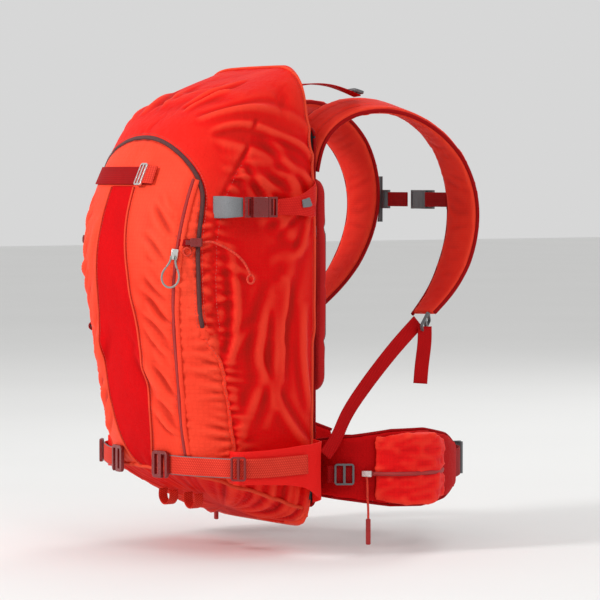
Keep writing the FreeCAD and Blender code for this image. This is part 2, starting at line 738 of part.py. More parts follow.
def make_shoulder_straps():
    strap = ribbon(STRAP_PATH, STRAP_ACROSS, STRAP_WIDE, STRAP_THICK, 17)
    parts["shoulder_straps"] = group(both_sides(strap))
    lifter = ribbon(
        [(58, -17.6, 500), (67, 8, 505), (75, 40, 503), (82, 78, 490)],
        [(1, 0, 0)] * 2,
        [20, 20],
        [WEB, WEB],
    )
    lifter_glide = placed(tri_glide(20, 16), V(82, 74, 495.0), V(0.18, 1, -0.30), V(0, 0.3, 1))
    lower = ribbon(
        [
            (131, 144, 190),
            (137, 104, 160),
            (145, 45, 108),
            (154, 3, 64),
            (158.5, -13, 42),
            (156, -28, 22),
        ],
        [(0.2, 0.6, -0.7), (0.1, 0.6, -0.7), (0, 0.6, -0.7), (0, 0.7, -0.6)],
        [20, 20],
        [WEB, WEB],
        15,
    )
    tail = ribbon(
        [(141, 147, 184), (142, 146, 164), (142, 142, 136), (142, 139, 108)],
        [(0.3, 0.95, 0)] * 2,
        [20, 20],
        [WEB, WEB],
    )
    parts["harness_webbing"] = group([s for w in (lifter, lower, tail) for s in both_sides(w)])
    ladder = placed(tri_glide(20, 24, 4.0), V(138, 148, 189), V(0.1, -0.6, -0.8), V(0.8, 0.5, -0.4))
    return [lifter_glide, ladder]


def make_sternum_strap():
    """Chest strap: a rail on each shoulder strap, a clip that slides on it, webbing and buckle."""
    strap = parts["shoulder_straps"].Solids[0]
    rail_x = 84.0
    low, high = STERNUM_Z - 32, STERNUM_Z + 32
    face = max(outer_face_y(strap, rail_x, z) for z in (low, STERNUM_Z, high))
    rail = box(rail_x - 1.6, rail_x + 1.6, face - 2.5, face + 3.2, low, high)
    rail = rail.cut(strap).fuse(box(rail_x - 3.2, rail_x + 3.2, face + 1.4, face + 3.2, low, high))
    parts["sternum_rails"] = group(both_sides(biggest(rail.removeSplitter())))
    y = face + 0.5
    clip = box(rail_x - 9, rail_x + 6.5, y, y + 6.0, STERNUM_Z - 13, STERNUM_Z + 13)
    clip = clip.cut(box(rail_x - 2.2, rail_x + 2.2, y - 1, y + 3.2, STERNUM_Z - 20, STERNUM_Z + 20))
    clip = clip.cut(box(rail_x - 3.8, rail_x + 3.8, y + 0.4, y + 3.3, STERNUM_Z - 20, STERNUM_Z + 20))
    bar = box(rail_x - 18, rail_x - 9, y + 1.0, y + 5.0, STERNUM_Z - 13, STERNUM_Z + 13)
    bar = bar.cut(box(rail_x - 15, rail_x - 10.5, y, y + 6, STERNUM_Z - 10.5, STERNUM_Z + 10.5))
    parts["sternum_clips"] = group(both_sides(clip.fuse(bar).removeSplitter()))
    seat = V(-11.5, y + 8.2, STERNUM_Z)
    parts["sternum_socket"] = placed(buckle_female(20), seat, V(1, 0, 0), V(0, 1, 0))
    parts["sternum_tongue"] = placed(buckle_male(20), seat, V(1, 0, 0), V(0, 1, 0))
    web_y = y + 0.9
    low, high = STERNUM_Z - 10, STERNUM_Z + 10
    right = box(18, rail_x - 18.4, web_y, web_y + WEB, low, high)
    left = box(-rail_x + 18.4, -22.5, web_y, web_y + WEB, low, high)
    parts["sternum_webbing"] = group([right, left])
    print("sternum strap plane y", round(y, 2))


def make_haul_handle():
    half = [(0, 15, 514), (24, 13, 508), (38, 8, 492), (40, 5, 478)]
    path = [(-x, y, z) for x, y, z in half[:0:-1]] + half
    parts["haul_handle"] = ribbon(path, [(0, 1, 0)] * 2, [12, 14, 16, 14, 12], [3.0, 3.0], 15)


# ---------------------------------------------------------------- hip belt
WING_PATH = [(112, -4.5, 2), (142, 9, 3), (169, 50, 3), (177, 104, 2), (163, 156, 0), (136, 194, -2)]
WING_WIDE = [72, 84, 98, 100, 84, 52]
WING_THICK = [10, 12, 12, 12, 9]
HIP_ZIP_CENTRE = (143, 88, -3)  # the hip pocket's zip runs round this point
HIP_ZIP_RADIUS = 71.5


def make_hip_belt():
    up = [(0, 0, -1)] * 2
    wing = ribbon(WING_PATH, up, WING_WIDE, WING_THICK, 13)
    parts["hip_wing_right"] = wing
    parts["hip_wing_left"] = mirrored(wing)
    spine, tangents = smooth_path([V(*p) for p in WING_PATH], 61)
    face = [p + V(t.y, -t.x, 0).normalize() * 12.9 for p, t in zip(spine, tangents)]
    face = [tuple(p) for p in face if 32 < p.y < 160 and p.x > 160][::5]
    pocket = ribbon(face, up, [84, 94, 96, 92, 72], [3, 16, 24, 22, 6], 11)
    centre, radius = V(*HIP_ZIP_CENTRE), HIP_ZIP_RADIUS
    recess = Part.makeCylinder(radius + 60, 11, centre + V(0, 0, -5.5))
    recess = recess.cut(Part.makeCylinder(radius - 0.6, 11, centre + V(0, 0, -5.5)))
    pocket = biggest(pocket.cut(recess))
    parts["hip_pocket_right"] = pocket
    parts["hip_pocket_left"] = mirrored(pocket)
    belt = ribbon(
        [(139, 198.8, -2), (126, 215, -2), (98, 238, -2), (72, 247, -2)],
        up,
        [BELT_WIDE, BELT_WIDE],
        [WEB, WEB],
        11,
    )
    stab = ribbon([(147, -12, -4), (154, 0, -4), (162, 12, -4)], up, [22, 22], [WEB, WEB], 7)
    parts["hip_webbing_right"] = group([belt, stab])
    parts["hip_webbing_left"] = mirrored(parts["hip_webbing_right"])
    glide = placed(tri_glide(22, 26), V(158.2, 1.0, -4), V(0.55, 0.83, 0), V(0.83, -0.55, 0))
    parts["stabilizer_buckle_right"] = glide
    parts["stabilizer_buckle_left"] = mirrored(glide)
    tip = 28.0
    long = 1.15 * BELT_WIDE
    y = 258.2
    male = placed(buckle_male(BELT_WIDE), V(tip - 7.5, y, -2), V(1, 0, 0), V(0, 1, 0))
    female = placed(buckle_female(BELT_WIDE), V(-tip - long, y, -2), V(1, 0, 0), V(0, 1, 0))
    parts["hip_buckle_tongue"] = male
    parts["hip_buckle_socket"] = female


def make_hip_zips():
    """Pocket zip sliders with their hanging cord pulls."""
    turn = math.radians(-62)
    outward = V(math.cos(turn), math.sin(turn), 0)
    along = V(-outward.y, outward.x, 0)
    seat = V(*HIP_ZIP_CENTRE) + outward * HIP_ZIP_RADIUS
    slider = box(-7, 7, -4.0, 4.0, 0, 3.4)
    slider = slider.makeFillet(1.0, [e for e in slider.Edges if e.CenterOfMass.z > 3.3])
    slider = placed(slider, seat, along, outward)
    parts["hip_zip_slider_right"] = slider
    parts["hip_zip_slider_left"] = mirrored(slider)
    top = seat + outward * 1.7 + V(0, 0, -4.5)
    steps = [(0, 0, 0), (0.8, 0.4, -13), (-0.8, 1.4, -27), (0.6, 2.0, -41), (0.2, 2.2, -54)]
    points = [top + V(*step) for step in steps]
    print("pull cord points", [vec(p, 1) for p in points])
    cord = cord_tube([tuple(p) for p in points], 1.5)
    sleeve = Part.makeCylinder(3.2, 34, points[-1] + V(0, 0, -0.4), V(0, 0, -1))
    sleeve = sleeve.makeFillet(1.6, sleeve.Edges[:1] + sleeve.Edges[2:3])
    parts["hip_pull_cord_right"] = cord
    parts["hip_pull_cord_left"] = mirrored(cord)
    parts["hip_pull_sleeve_right"] = sleeve
    parts["hip_pull_sleeve_left"] = mirrored(sleeve)


make_shell_panels()
make_front_details()
make_inside()
make_ski_straps()
adjusters = make_ski_bands()
make_pocket_zip()
make_front_strap()
make_keepers()
make_tool_loops()
make_front_zip_slider()
adjusters += make_shoulder_straps()
parts["strap_adjusters"] = group([s for a in adjusters for s in both_sides(a)])
make_sternum_strap()
make_haul_handle()
make_hip_belt()
make_hip_zips()

os.makedirs("parts", exist_ok=True)
for name, shape in parts.items():
    solids = shape.Solids
    good = all(s.isValid() and s.isClosed() and s.Volume > 0 for s in solids)
    b = shape.BoundBox
    print(
        f"{name:28s} solids {len(solids)} {'ok ' if good and solids else 'BAD'} volume {shape.Volume:10.0f}"
        f"  x {b.XMin:7.1f} {b.XMax:7.1f}  y {b.YMin:7.1f} {b.YMax:7.1f}  z {b.ZMin:7.1f} {b.ZMax:7.1f}"
    )
    shape.exportStep(f"parts/{name}.step")
print(len(parts), "nodes")
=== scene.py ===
import math

import bpy
import numpy as np
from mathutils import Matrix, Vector, noise
from mathutils.bvhtree import BVHTree
from mathutils.kdtree import KDTree


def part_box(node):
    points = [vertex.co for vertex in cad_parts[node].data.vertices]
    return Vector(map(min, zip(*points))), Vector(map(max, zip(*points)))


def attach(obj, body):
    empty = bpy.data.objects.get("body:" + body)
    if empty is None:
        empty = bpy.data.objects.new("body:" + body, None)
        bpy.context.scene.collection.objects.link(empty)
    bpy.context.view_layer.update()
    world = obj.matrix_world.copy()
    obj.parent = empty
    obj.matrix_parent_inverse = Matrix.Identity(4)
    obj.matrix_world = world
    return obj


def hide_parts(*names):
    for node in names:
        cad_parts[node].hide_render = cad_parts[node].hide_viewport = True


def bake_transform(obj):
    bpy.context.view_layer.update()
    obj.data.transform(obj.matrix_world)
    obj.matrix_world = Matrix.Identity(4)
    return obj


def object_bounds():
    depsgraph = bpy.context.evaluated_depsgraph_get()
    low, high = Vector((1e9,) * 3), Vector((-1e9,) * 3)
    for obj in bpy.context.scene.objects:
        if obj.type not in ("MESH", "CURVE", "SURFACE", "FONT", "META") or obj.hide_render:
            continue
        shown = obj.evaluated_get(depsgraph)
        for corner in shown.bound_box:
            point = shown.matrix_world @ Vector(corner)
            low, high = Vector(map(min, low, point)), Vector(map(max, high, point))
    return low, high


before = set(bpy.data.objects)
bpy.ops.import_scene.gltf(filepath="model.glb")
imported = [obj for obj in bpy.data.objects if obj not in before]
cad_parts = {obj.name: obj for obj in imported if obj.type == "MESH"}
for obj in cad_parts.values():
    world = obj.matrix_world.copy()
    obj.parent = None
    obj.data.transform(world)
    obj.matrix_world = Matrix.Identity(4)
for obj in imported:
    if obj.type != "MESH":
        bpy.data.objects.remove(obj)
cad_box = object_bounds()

MM = 0.001

# ---------------------------------------------------------------- driving dimensions, millimetres
BACK_Y = -20.0  # outer face of the bag's back wall
BACK_EDGE = 134.0  # half width of its dark panel
REAR_SHARE = 0.4  # share of a bag section's depth behind its widest point
FRONT_POWER = 2.6
REAR_POWER = 7.0
SIM_GRID = (148, 136)  # points of the simulated cloth round the bag and up it
GRID = (296, 274)  # and of the finished cloth
FOLD_Z = 183.0  # the front flap folds about this height
FLAP_HALF = 127.0
FLAP_ARC_Z = 344.0
FLAP_TOP_Z = 435.0
ARCH_RISE = FLAP_TOP_Z - FLAP_ARC_Z
HOOD_SHADE = 0.88  # how far the hood's cloth is toned toward the painted shade red
POCKET_ZIP = [(87, 26), (92, 80), (97, 150), (100, 200), (105, 250), (110, 300), (112, 345), (111, 380)]
LEAF = [(4, 12), (20, 26), (60, 42), (110, 48), (183, 46), (260, 38), (330, 30), (370, 27)]
GUSSET = [(126, -2), (131, 16), (134, 60), (134.5, 120), (135, 186), (136, 260), (137, 330), (135, 400),
          (126, 455)]
SKI_LOW_Z = 13.0
SKI_HIGH_Z = 345.0
SKI_ROOM = 26.0
STRAP_Z = 384.0
WEB = 1.6
WEB_WIDE = 25.0
WEB_NARROW = 20.0
BELT_WIDE = 38.0
FRONT_Y = -95.0  # the bag's front lies before this
CORD_THICK = 0.003  # metres
TUBE_SIDES = 10
FAR = 99.0  # distance where no seam is near
SIDES = ((1, "right"), (-1, "left"))  # sign of x, and the wearer's side

# Bag sections from foot to top: height at the back wall, tilt in degrees, level depth, half width.
SECTIONS = [
    (-78, 23, 136, 92),
    (-72, 22, 160, 118),
    (-56, 19, 179, 132),
    (-12, 13, 196, 140),
    (80, 7, 213, 144),
    (190, 3, 229, 147),
    (290, 0, 237, 148),
    (380, -5, 222, 145),
    (450, -10, 197, 132),
    (499, -14, 166, 118),
    (523, -18, 124, 94),
    (531, -22, 68, 58),
]

# ---------------------------------------------------------------- colours, linear
RED = (0.95, 0.074, 0.033)
# darker red: the low end of the uneven dye and of the ripstop lines, and the base of the painted shade in the
# hollows between folds
RED_SHADE = (0.80, 0.022, 0.010)
# painted shade: a shaded copy of the shell red, painted on the bag's sides and hood
PAINTED_SHADE_RED = (0.72, 0.002, 0.003)
LEAF_RED = (0.72, 0.002, 0.004)
PIPING = (0.95, 0.085, 0.040)
WEBBING_RED = (0.50, 0.003, 0.005)
WEBBING_BRIGHT = (1.0, 0.095, 0.052)
CORD_RED = (0.90, 0.060, 0.030)
FOLD_TOP_HIGHLIGHT = (1.0, 0.085, 0.04)  # painted highlight on the tops of the folds in bright red cloth
MAROON = (0.075, 0.010, 0.010)
GREY = (0.16, 0.165, 0.17)
BUCKLE_RED = (0.20, 0.008, 0.008)
METAL = (0.72, 0.72, 0.70)


# ---------------------------------------------------------------- materials
class Shader:
    """A material's node tree with short ways to add and join nodes."""

    def __init__(self, name, rough=0.6, metal=0.0, sheen=0.0, coat=0.0, specular=0.5):
        self.material = bpy.data.materials.new(name)
        self.material.use_nodes = True
        self.tree = self.material.node_tree
        self.bsdf = self.tree.nodes["Principled BSDF"]
        self.bsdf.inputs["Roughness"].default_value = rough
        self.bsdf.inputs["Metallic"].default_value = metal
        self.bsdf.inputs["Sheen Weight"].default_value = sheen
        self.bsdf.inputs["Sheen Roughness"].default_value = 0.45
        self.bsdf.inputs["Coat Weight"].default_value = coat
        self.bsdf.inputs["Coat Roughness"].default_value = 0.25
        self.bsdf.inputs["Specular IOR Level"].default_value = specular

    def add(self, kind, settings=None, **inputs):
        node = self.tree.nodes.new(kind)
        for key, value in (settings or {}).items():
            setattr(node, key, value)
        for key, value in inputs.items():
            self.put(node.inputs[key.replace("_", " ")], value)
        return node

    def put(self, socket, value):
        if isinstance(value, bpy.types.NodeSocket):
            self.tree.links.new(value, socket)
        else:
            socket.default_value = value

    def put_color(self, socket, color):
        self.put(socket, color if isinstance(color, bpy.types.NodeSocket) else (*color, 1.0))

    def math(self, operation, a, b=0.0):
        node = self.tree.nodes.new("ShaderNodeMath")
        node.operation = operation
        self.put(node.inputs[0], a)
        self.put(node.inputs[1], b)
        return node.outputs[0]

    def blend(self, share, a, b):
        node = self.tree.nodes.new("ShaderNodeMix")
        node.data_type = "RGBA"
        self.put(node.inputs["Factor"], share)
        self.put_color(node.inputs[6], a)
        self.put_color(node.inputs[7], b)
        return node.outputs[2]

    def tint(self, color, mask, share, other):
        """A colour blended toward another by a share of a mask."""
        return self.blend(self.math("MULTIPLY", mask, share), color, other)

    def coords(self):
        return self.add("ShaderNodeTexCoord").outputs["Object"]

    def normal(self):
        return self.add("ShaderNodeNewGeometry").outputs["Normal"]

    def axes(self, vector):
        """The X, Y and Z of a vector."""
        return self.add("ShaderNodeSeparateXYZ", None, Vector=vector).outputs

    def hollows(self):
        """How deep the cloth lies between its folds, from 0 to 1: the mask for painted shade in the hollows.
        """
        return self.math("MAXIMUM", self.math("MULTIPLY", self.attribute("fold"), -1.0), 0.0)

    def noise(self, coords, scale, detail=3.0, rough=0.5, low=0.35, high=0.65):
        """Noise stretched so that low to high becomes 0 to 1."""
        node = self.add("ShaderNodeTexNoise", None, Vector=coords, Scale=scale, Detail=detail,
                        Roughness=rough)
        spread = self.add("ShaderNodeMapRange", None, Value=node.outputs["Fac"])
        spread.inputs["From Min"].default_value = low
        spread.inputs["From Max"].default_value = high
        return spread.outputs["Result"]

    def bands(self, coords, direction, period):
        """Wave bands from 0 to 1 with a period in metres."""
        scale = 2 * math.pi / 20 / period
        node = self.add("ShaderNodeTexWave", {"bands_direction": direction}, Vector=coords, Scale=scale)
        return node.outputs["Fac"]

    def attribute(self, name):
        return self.add("ShaderNodeAttribute", {"attribute_name": name}).outputs["Fac"]

    def bump(self, height, strength, distance, below=None):
        node = self.add("ShaderNodeBump", None, Height=height, Strength=strength, Distance=distance)
        if below is not None:
            self.tree.links.new(below, node.inputs["Normal"])
        return node.outputs["Normal"]

    def finish(self, color, normal=None, rough=None):
        self.put_color(self.bsdf.inputs["Base Color"], color)
        if normal is not None:
            self.tree.links.new(normal, self.bsdf.inputs["Normal"])
        if rough is not None:
            self.tree.links.new(rough, self.bsdf.inputs["Roughness"])
        return self.material


def scaled(color, factor):
    return tuple(min(1.0, c * factor) for c in color)


def nylon(name, bright, shade, rough=0.5, ripstop=5.0, painted_shade=None):
    """Woven nylon: ripstop grid, fine weave, uneven dye, painted shade in the hollows between folds and a
    painted highlight on their tops.
    """
    s = Shader(name, rough=rough, specular=0.06)
    coords = s.coords()
    parts = s.axes(s.normal())
    facing = [s.math("ABSOLUTE", parts[axis]) for axis in range(3)]
    lines = []
    for direction, share in (("X", facing[1]), ("Y", facing[0]), ("Z", s.math("SUBTRACT", 1.0, facing[2]))):
        thread = s.math("POWER", s.bands(coords, direction, ripstop * MM), 9.0)
        lines.append(s.math("MULTIPLY", thread, share))
    grid = s.math("MAXIMUM", s.math("MAXIMUM", lines[0], lines[1]), lines[2])
    weave = s.noise(coords, 1500.0, 2.0)
    uneven = s.noise(coords, 7.0, 4.0)
    color = s.tint(bright, uneven, 0.55, shade)
    # painted shade: the sides and the hood blend toward a shaded copy of the red, by a point attribute
    if painted_shade is not None:
        color = s.blend(s.attribute("painted_shade"), color, painted_shade)
    color = s.tint(color, grid, 0.22, scaled(shade, 0.8))
    # painted shade: the cloth darkens in the hollows between its folds
    color = s.tint(color, s.hollows(), 0.7, scaled(shade, 0.42))
    # painted highlight: the tops of the folds turn lighter
    ridge = s.math("MAXIMUM", s.attribute("fold"), 0.0)
    color = s.tint(color, ridge, 0.5, FOLD_TOP_HIGHLIGHT if bright[0] > 0.7 else scaled(bright, 1.3))
    height = s.math("ADD", s.math("MULTIPLY", grid, 0.6), s.math("MULTIPLY", weave, 0.6))
    creases = s.noise(coords, 95.0, 3.0, 0.55, 0.3, 0.7)
    soft = s.bump(creases, 0.25, 0.0022)
    return s.finish(color, s.bump(height, 0.35, 0.00035, soft))


def textured(name, base, dark, cell=1.7, rough=0.72, depth=0.0006):
    """Heavy fabric with a small knobbly weave."""
    s = Shader(name, rough=rough, specular=0.05)
    coords = s.coords()
    cells = s.add("ShaderNodeTexVoronoi", {"feature": "SMOOTH_F1"}, Vector=coords, Scale=1000.0 / cell)
    knobs = s.math("SUBTRACT", 1.0, cells.outputs["Distance"])
    uneven = s.noise(coords, 16.0, 4.0)
    color = s.tint(dark, knobs, 0.8, base)
    color = s.tint(color, uneven, 0.35, scaled(dark, 0.8))
    # painted shade: the cloth darkens in the hollows between its folds
    color = s.tint(color, s.hollows(), 0.7, scaled(dark, 0.45))
    soft = s.bump(s.noise(coords, 60.0, 3.0), 0.2, 0.002)
    return s.finish(color, s.bump(knobs, 0.6, depth, soft))


def mesh_fabric(name, base, dark, rim, cell=3.2, rough=0.8):
    """Knitted spacer mesh, a regular net of small holes, with plain cloth round the sides."""
    s = Shader(name, rough=rough, sheen=0.1, specular=0.25)
    coords = s.coords()
    x = s.bands(coords, "X", cell * MM)
    z = s.bands(coords, "Z", cell * MM)
    holes = s.math("MULTIPLY", s.math("POWER", x, 2.0), s.math("POWER", z, 2.0))
    uneven = s.noise(coords, 24.0, 3.0)
    color = s.tint(base, holes, 0.85, dark)
    color = s.tint(color, uneven, 0.3, scaled(base, 0.6))
    facing = s.axes(s.normal())
    color = s.blend(s.math("LESS_THAN", facing[1], 0.62), color, rim)
    soft = s.bump(uneven, 0.15, 0.002)
    return s.finish(color, s.bump(s.math("SUBTRACT", 1.0, holes), 0.7, 0.0008, soft))


def webbing(name, base, dark, edge=None, across=None, edge_from=0.0, pitch=2.4):
    """Woven strap: slanted ribs along its length, seen from the strap's own flat coordinates."""
    s = Shader(name, rough=0.62, specular=0.08)
    flat = s.add("ShaderNodeUVMap").outputs["UV"]
    parts = s.axes(flat)
    slant = s.add("ShaderNodeMapping", None, Vector=flat)
    slant.inputs["Rotation"].default_value = (0, 0, math.radians(32))
    ribs = s.bands(slant.outputs["Vector"], "X", pitch * MM)
    rows = s.bands(flat, "Y", 3.1 * MM)
    weave = s.math("MULTIPLY", ribs, s.math("ADD", s.math("MULTIPLY", rows, 0.6), 0.4))
    color = s.tint(dark, weave, 0.85, base)
    color = s.tint(color, s.noise(s.coords(), 40.0, 3.0), 0.3, scaled(dark, 0.85))
    if edge is not None:
        rim = s.math("GREATER_THAN", s.math("ABSOLUTE", parts[1]), (across / 2 - 1.1) * MM)
        rim = s.math("MULTIPLY", rim, s.math("GREATER_THAN", parts[0], edge_from * MM))
        color = s.blend(rim, color, edge)
    return s.finish(color, s.bump(weave, 0.55, 0.0004))


def braid(name, base, dark, pitch=2.2):
    """Braided cord sheath."""
    s = Shader(name, rough=0.6, specular=0.25)
    coords = s.coords()
    cells = s.add("ShaderNodeTexVoronoi", {"feature": "F1"}, Vector=coords, Scale=1000.0 / pitch)
    knobs = s.math("SUBTRACT", 1.0, cells.outputs["Distance"])
    color = s.blend(knobs, dark, base)
    return s.finish(color, s.bump(knobs, 0.5, 0.0004))


def plastic(name, base, rough=0.38, coat=0.0, mottled=0.14, grain=0.00012, front=None):
    """Moulded acetal or nylon: faint flow marks, fine grain, scuffs, and a second colour at the front."""
    s = Shader(name, rough=rough, coat=coat, specular=0.5)
    coords = s.coords()
    uneven = s.noise(coords, 55.0, 4.0)
    fine = s.noise(coords, 900.0, 2.0)
    color = s.tint(base, uneven, mottled * 3, scaled(base, 0.7))
    if front is not None:
        place = s.axes(coords)
        color = s.blend(s.math("LESS_THAN", place[1], -0.1), color, front)
    scuffs = s.add("ShaderNodeMapRange", None, Value=s.noise(coords, 160.0, 5.0))
    scuffs.inputs["To Min"].default_value = rough - 0.08
    scuffs.inputs["To Max"].default_value = rough + 0.14
    return s.finish(color, s.bump(fine, 0.25, grain), scuffs.outputs["Result"])


def metal(name, base, rough=0.32):
    """Bead-blasted alloy with faint handling marks."""
    s = Shader(name, rough=rough, metal=1.0)
    coords = s.coords()
    fine = s.noise(coords, 1400.0, 2.0)
    uneven = s.noise(coords, 70.0, 4.0)
    color = s.tint(base, uneven, 0.4, scaled(base, 0.72))
    return s.finish(color, s.bump(fine, 0.3, 0.00008))


def zip_coil(name, base, light, pitch=1.5):
    """Zip tape with its coil of small ribs across the run."""
    s = Shader(name, rough=0.5, sheen=0.05, specular=0.45)
    flat = s.add("ShaderNodeUVMap").outputs["UV"]
    parts = s.axes(flat)
    ribs = s.bands(flat, "X", pitch * MM)
    coil = s.math("LESS_THAN", s.math("ABSOLUTE", parts[1]), 1.9 * MM)
    teeth = s.math("MULTIPLY", ribs, coil)
    color = s.tint(base, teeth, 0.5, light)
    color = s.tint(color, s.noise(s.coords(), 60.0), 0.3, scaled(base, 0.6))
    return s.finish(color, s.bump(teeth, 0.7, 0.0005))


def thread_material(name, base):
    s = Shader(name, rough=0.6, sheen=0.2)
    twist = s.noise(s.coords(), 1800.0, 1.0)
    return s.finish(s.blend(twist, scaled(base, 0.7), base), s.bump(twist, 0.4, 0.0001))


def paper(name, base):
    s = Shader(name, rough=0.9, specular=0.2)
    return s.finish(s.blend(s.noise(s.coords(), 1.5), base, scaled(base, 0.985)))


MATERIALS = {
    "shell": nylon("shell_nylon", RED, RED_SHADE, painted_shade=PAINTED_SHADE_RED),
    "boot": nylon("boot_nylon", (0.74, 0.006, 0.006), (0.44, 0.002, 0.003), rough=0.6, ripstop=3.0),
    "lining": nylon("lining_nylon", (0.30, 0.31, 0.33), (0.20, 0.21, 0.22), rough=0.6, ripstop=4.0),
    "leaf": textured("leaf_weave", LEAF_RED, (0.56, 0.002, 0.004)),
    "strap_face": nylon("harness_nylon", (0.90, 0.034, 0.016), (0.66, 0.008, 0.006), rough=0.6, ripstop=3.2),
    "wing": nylon("wing_nylon", (0.50, 0.002, 0.003), (0.34, 0.001, 0.002), rough=0.62, ripstop=3.2),
    "pocket": nylon("pocket_nylon", (0.88, 0.010, 0.010), (0.60, 0.002, 0.004), rough=0.48),
    "spacer": mesh_fabric("spacer_mesh", (0.085, 0.086, 0.094), (0.016, 0.016, 0.018), (0.46, 0.004, 0.005)),
    "back_cloth": textured("back_cloth", (0.075, 0.076, 0.082), (0.035, 0.036, 0.040), cell=1.3),
    "piping": textured("piping", PIPING, scaled(PIPING, 0.7), cell=1.1, depth=0.0002),
    "dark_piping": textured("dark_piping", (0.42, 0.006, 0.008), (0.28, 0.004, 0.005), cell=1.1,
                            depth=0.0002),
    "webbing": webbing("red_webbing", WEBBING_RED, scaled(WEBBING_RED, 0.5)),
    "webbing_bright": webbing("bright_webbing", WEBBING_BRIGHT, (0.55, 0.020, 0.012), GREY, WEB_WIDE, 108.0),
    "ski_wing": webbing("wing_webbing", (0.90, 0.036, 0.022), (0.58, 0.008, 0.008)),
    "harness_webbing": webbing("harness_webbing", (0.66, 0.005, 0.007), (0.36, 0.002, 0.003)),
    "band": nylon("band_nylon", (0.94, 0.024, 0.018), (0.74, 0.006, 0.007), rough=0.62, ripstop=2.4),
    "tab": textured("coated_tab", (0.27, 0.275, 0.285), (0.16, 0.163, 0.17), cell=0.9, depth=0.0002,
                    rough=0.6),
    "cord": braid("cord_sheath", CORD_RED, scaled(CORD_RED, 0.45)),
    "sleeve": plastic("sleeve_rubber", (0.42, 0.012, 0.010), rough=0.6),
    "buckle": plastic("buckle_red", BUCKLE_RED, rough=0.30, coat=0.2),
    "grey_buckle": plastic("buckle_grey", (0.115, 0.12, 0.125), rough=0.42),
    "adjuster": plastic("adjuster_plastic", (0.115, 0.12, 0.125), rough=0.42, front=BUCKLE_RED),
    "pull_plastic": plastic("pull_grey", (0.26, 0.28, 0.26), rough=0.4),
    "metal": metal("bare_alloy", METAL),
    "zip_dark": zip_coil("zip_maroon", MAROON, (0.16, 0.03, 0.03)),
    "zip_red": zip_coil("zip_red", (0.34, 0.010, 0.010), (0.60, 0.03, 0.02)),
    "thread": thread_material("thread", (0.62, 0.05, 0.035)),
    "sheet_plastic": plastic("sheet_plastic", (0.02, 0.02, 0.02), rough=0.5),
    "floor": paper("floor_paper", (0.83, 0.83, 0.82)),
}


# ---------------------------------------------------------------- meshes
def new_mesh(name, points, faces, body, material, flat=None):
    """A mesh piece that rides on a body. flat holds the strap coordinates of each point, in metres."""
    mesh = bpy.data.meshes.new(name)
    spots = np.asarray(points, float) * MM
    mesh.from_pydata([tuple(p) for p in spots], [], [tuple(f) for f in faces])
    mesh.validate()
    if flat is not None:
        layer = mesh.uv_layers.new(name="flat")
        for loop in mesh.loops:
            layer.data[loop.index].uv = flat[loop.vertex_index]
    mesh.materials.append(MATERIALS[material])
    piece = bpy.data.objects.new(name, mesh)
    bpy.context.scene.collection.objects.link(piece)
    mesh.shade_smooth()
    if body:
        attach(piece, body)
    return piece


def set_values(piece, name, values):
    layer = piece.data.attributes.new(name, "FLOAT", "POINT")
    layer.data.foreach_set("value", np.asarray(values, np.float32))


def unit(vectors):
    vectors = np.asarray(vectors, float)
    return vectors / np.maximum(np.linalg.norm(vectors, axis=-1, keepdims=True), 1e-9)


def cubic(knots, values, at):
    """Natural cubic spline through values at knots, read at the given places."""
    knots, values, at = np.asarray(knots, float), np.asarray(values, float), np.asarray(at, float)
    count, gaps = len(knots), np.diff(knots)
    system = np.eye(count)
    right = np.zeros_like(values)
    for i in range(1, count - 1):
        system[i, i - 1 : i + 2] = gaps[i - 1], 2 * (gaps[i - 1] + gaps[i]), gaps[i]
        right[i] = 6 * ((values[i + 1] - values[i]) / gaps[i] - (values[i] - values[i - 1]) / gaps[i - 1])
    bend = np.linalg.solve(system, right.reshape(count, -1)).reshape(values.shape)
    k = np.clip(np.searchsorted(knots, at) - 1, 0, count - 2)
    shape = (-1,) + (1,) * (values.ndim - 1)
    h = gaps[k].reshape(shape)
    a = (knots[k + 1] - at).reshape(shape) / h
    b = (at - knots[k]).reshape(shape) / h
    return a * values[k] + b * values[k + 1] + ((a**3 - a) * bend[k] + (b**3 - b) * bend[k + 1]) * h**2 / 6


def run_along(line):
    """Distance of each point of a line from its start."""
    return np.concatenate([[0], np.cumsum(np.linalg.norm(np.diff(line, axis=0), axis=1))])


def read_at(goals, run, line):
    """Points of a line at the given distances along it."""
    return np.column_stack([np.interp(goals, run, line[:, k]) for k in range(line.shape[1])])


def smooth_line(points, count=None, step=4.0):
    """Evenly spaced points and directions along a smooth curve through a few points."""
    points = np.asarray(points, float)
    lengths = run_along(points)
    dense = cubic(lengths, points, np.linspace(0, lengths[-1], 40 * len(points)))
    run = run_along(dense)
    count = count or max(3, int(run[-1] / step) + 1)
    goals = np.linspace(0, run[-1], count)
    spots = read_at(goals, run, dense)
    return spots, unit(np.gradient(spots, axis=0)), goals


def spread(values, count):
    """Short list of values, blended evenly over count stations."""
    values = np.asarray(values, float)
    if len(values) == 1:
        return np.repeat(values, count, axis=0)
    place = np.linspace(0, len(values) - 1, count)
    low = np.minimum(place.astype(int), len(values) - 2)
    share = place - low
    share = share.reshape((-1,) + (1,) * (values.ndim - 1))
    return values[low] + (values[low + 1] - values[low]) * share


def grid_faces(rows, count):
    """Faces over rows of points, each row a closed ring, with a cap on the first and the last."""
    faces = []
    for i in range(rows - 1):
        low, high = i * count, (i + 1) * count
        for j in range(count):
            k = (j + 1) % count
            faces.append((low + j, low + k, high + k, high + j))
    faces.append(tuple(range(count))[::-1])
    faces.append(tuple(range((rows - 1) * count, rows * count)))
    return faces


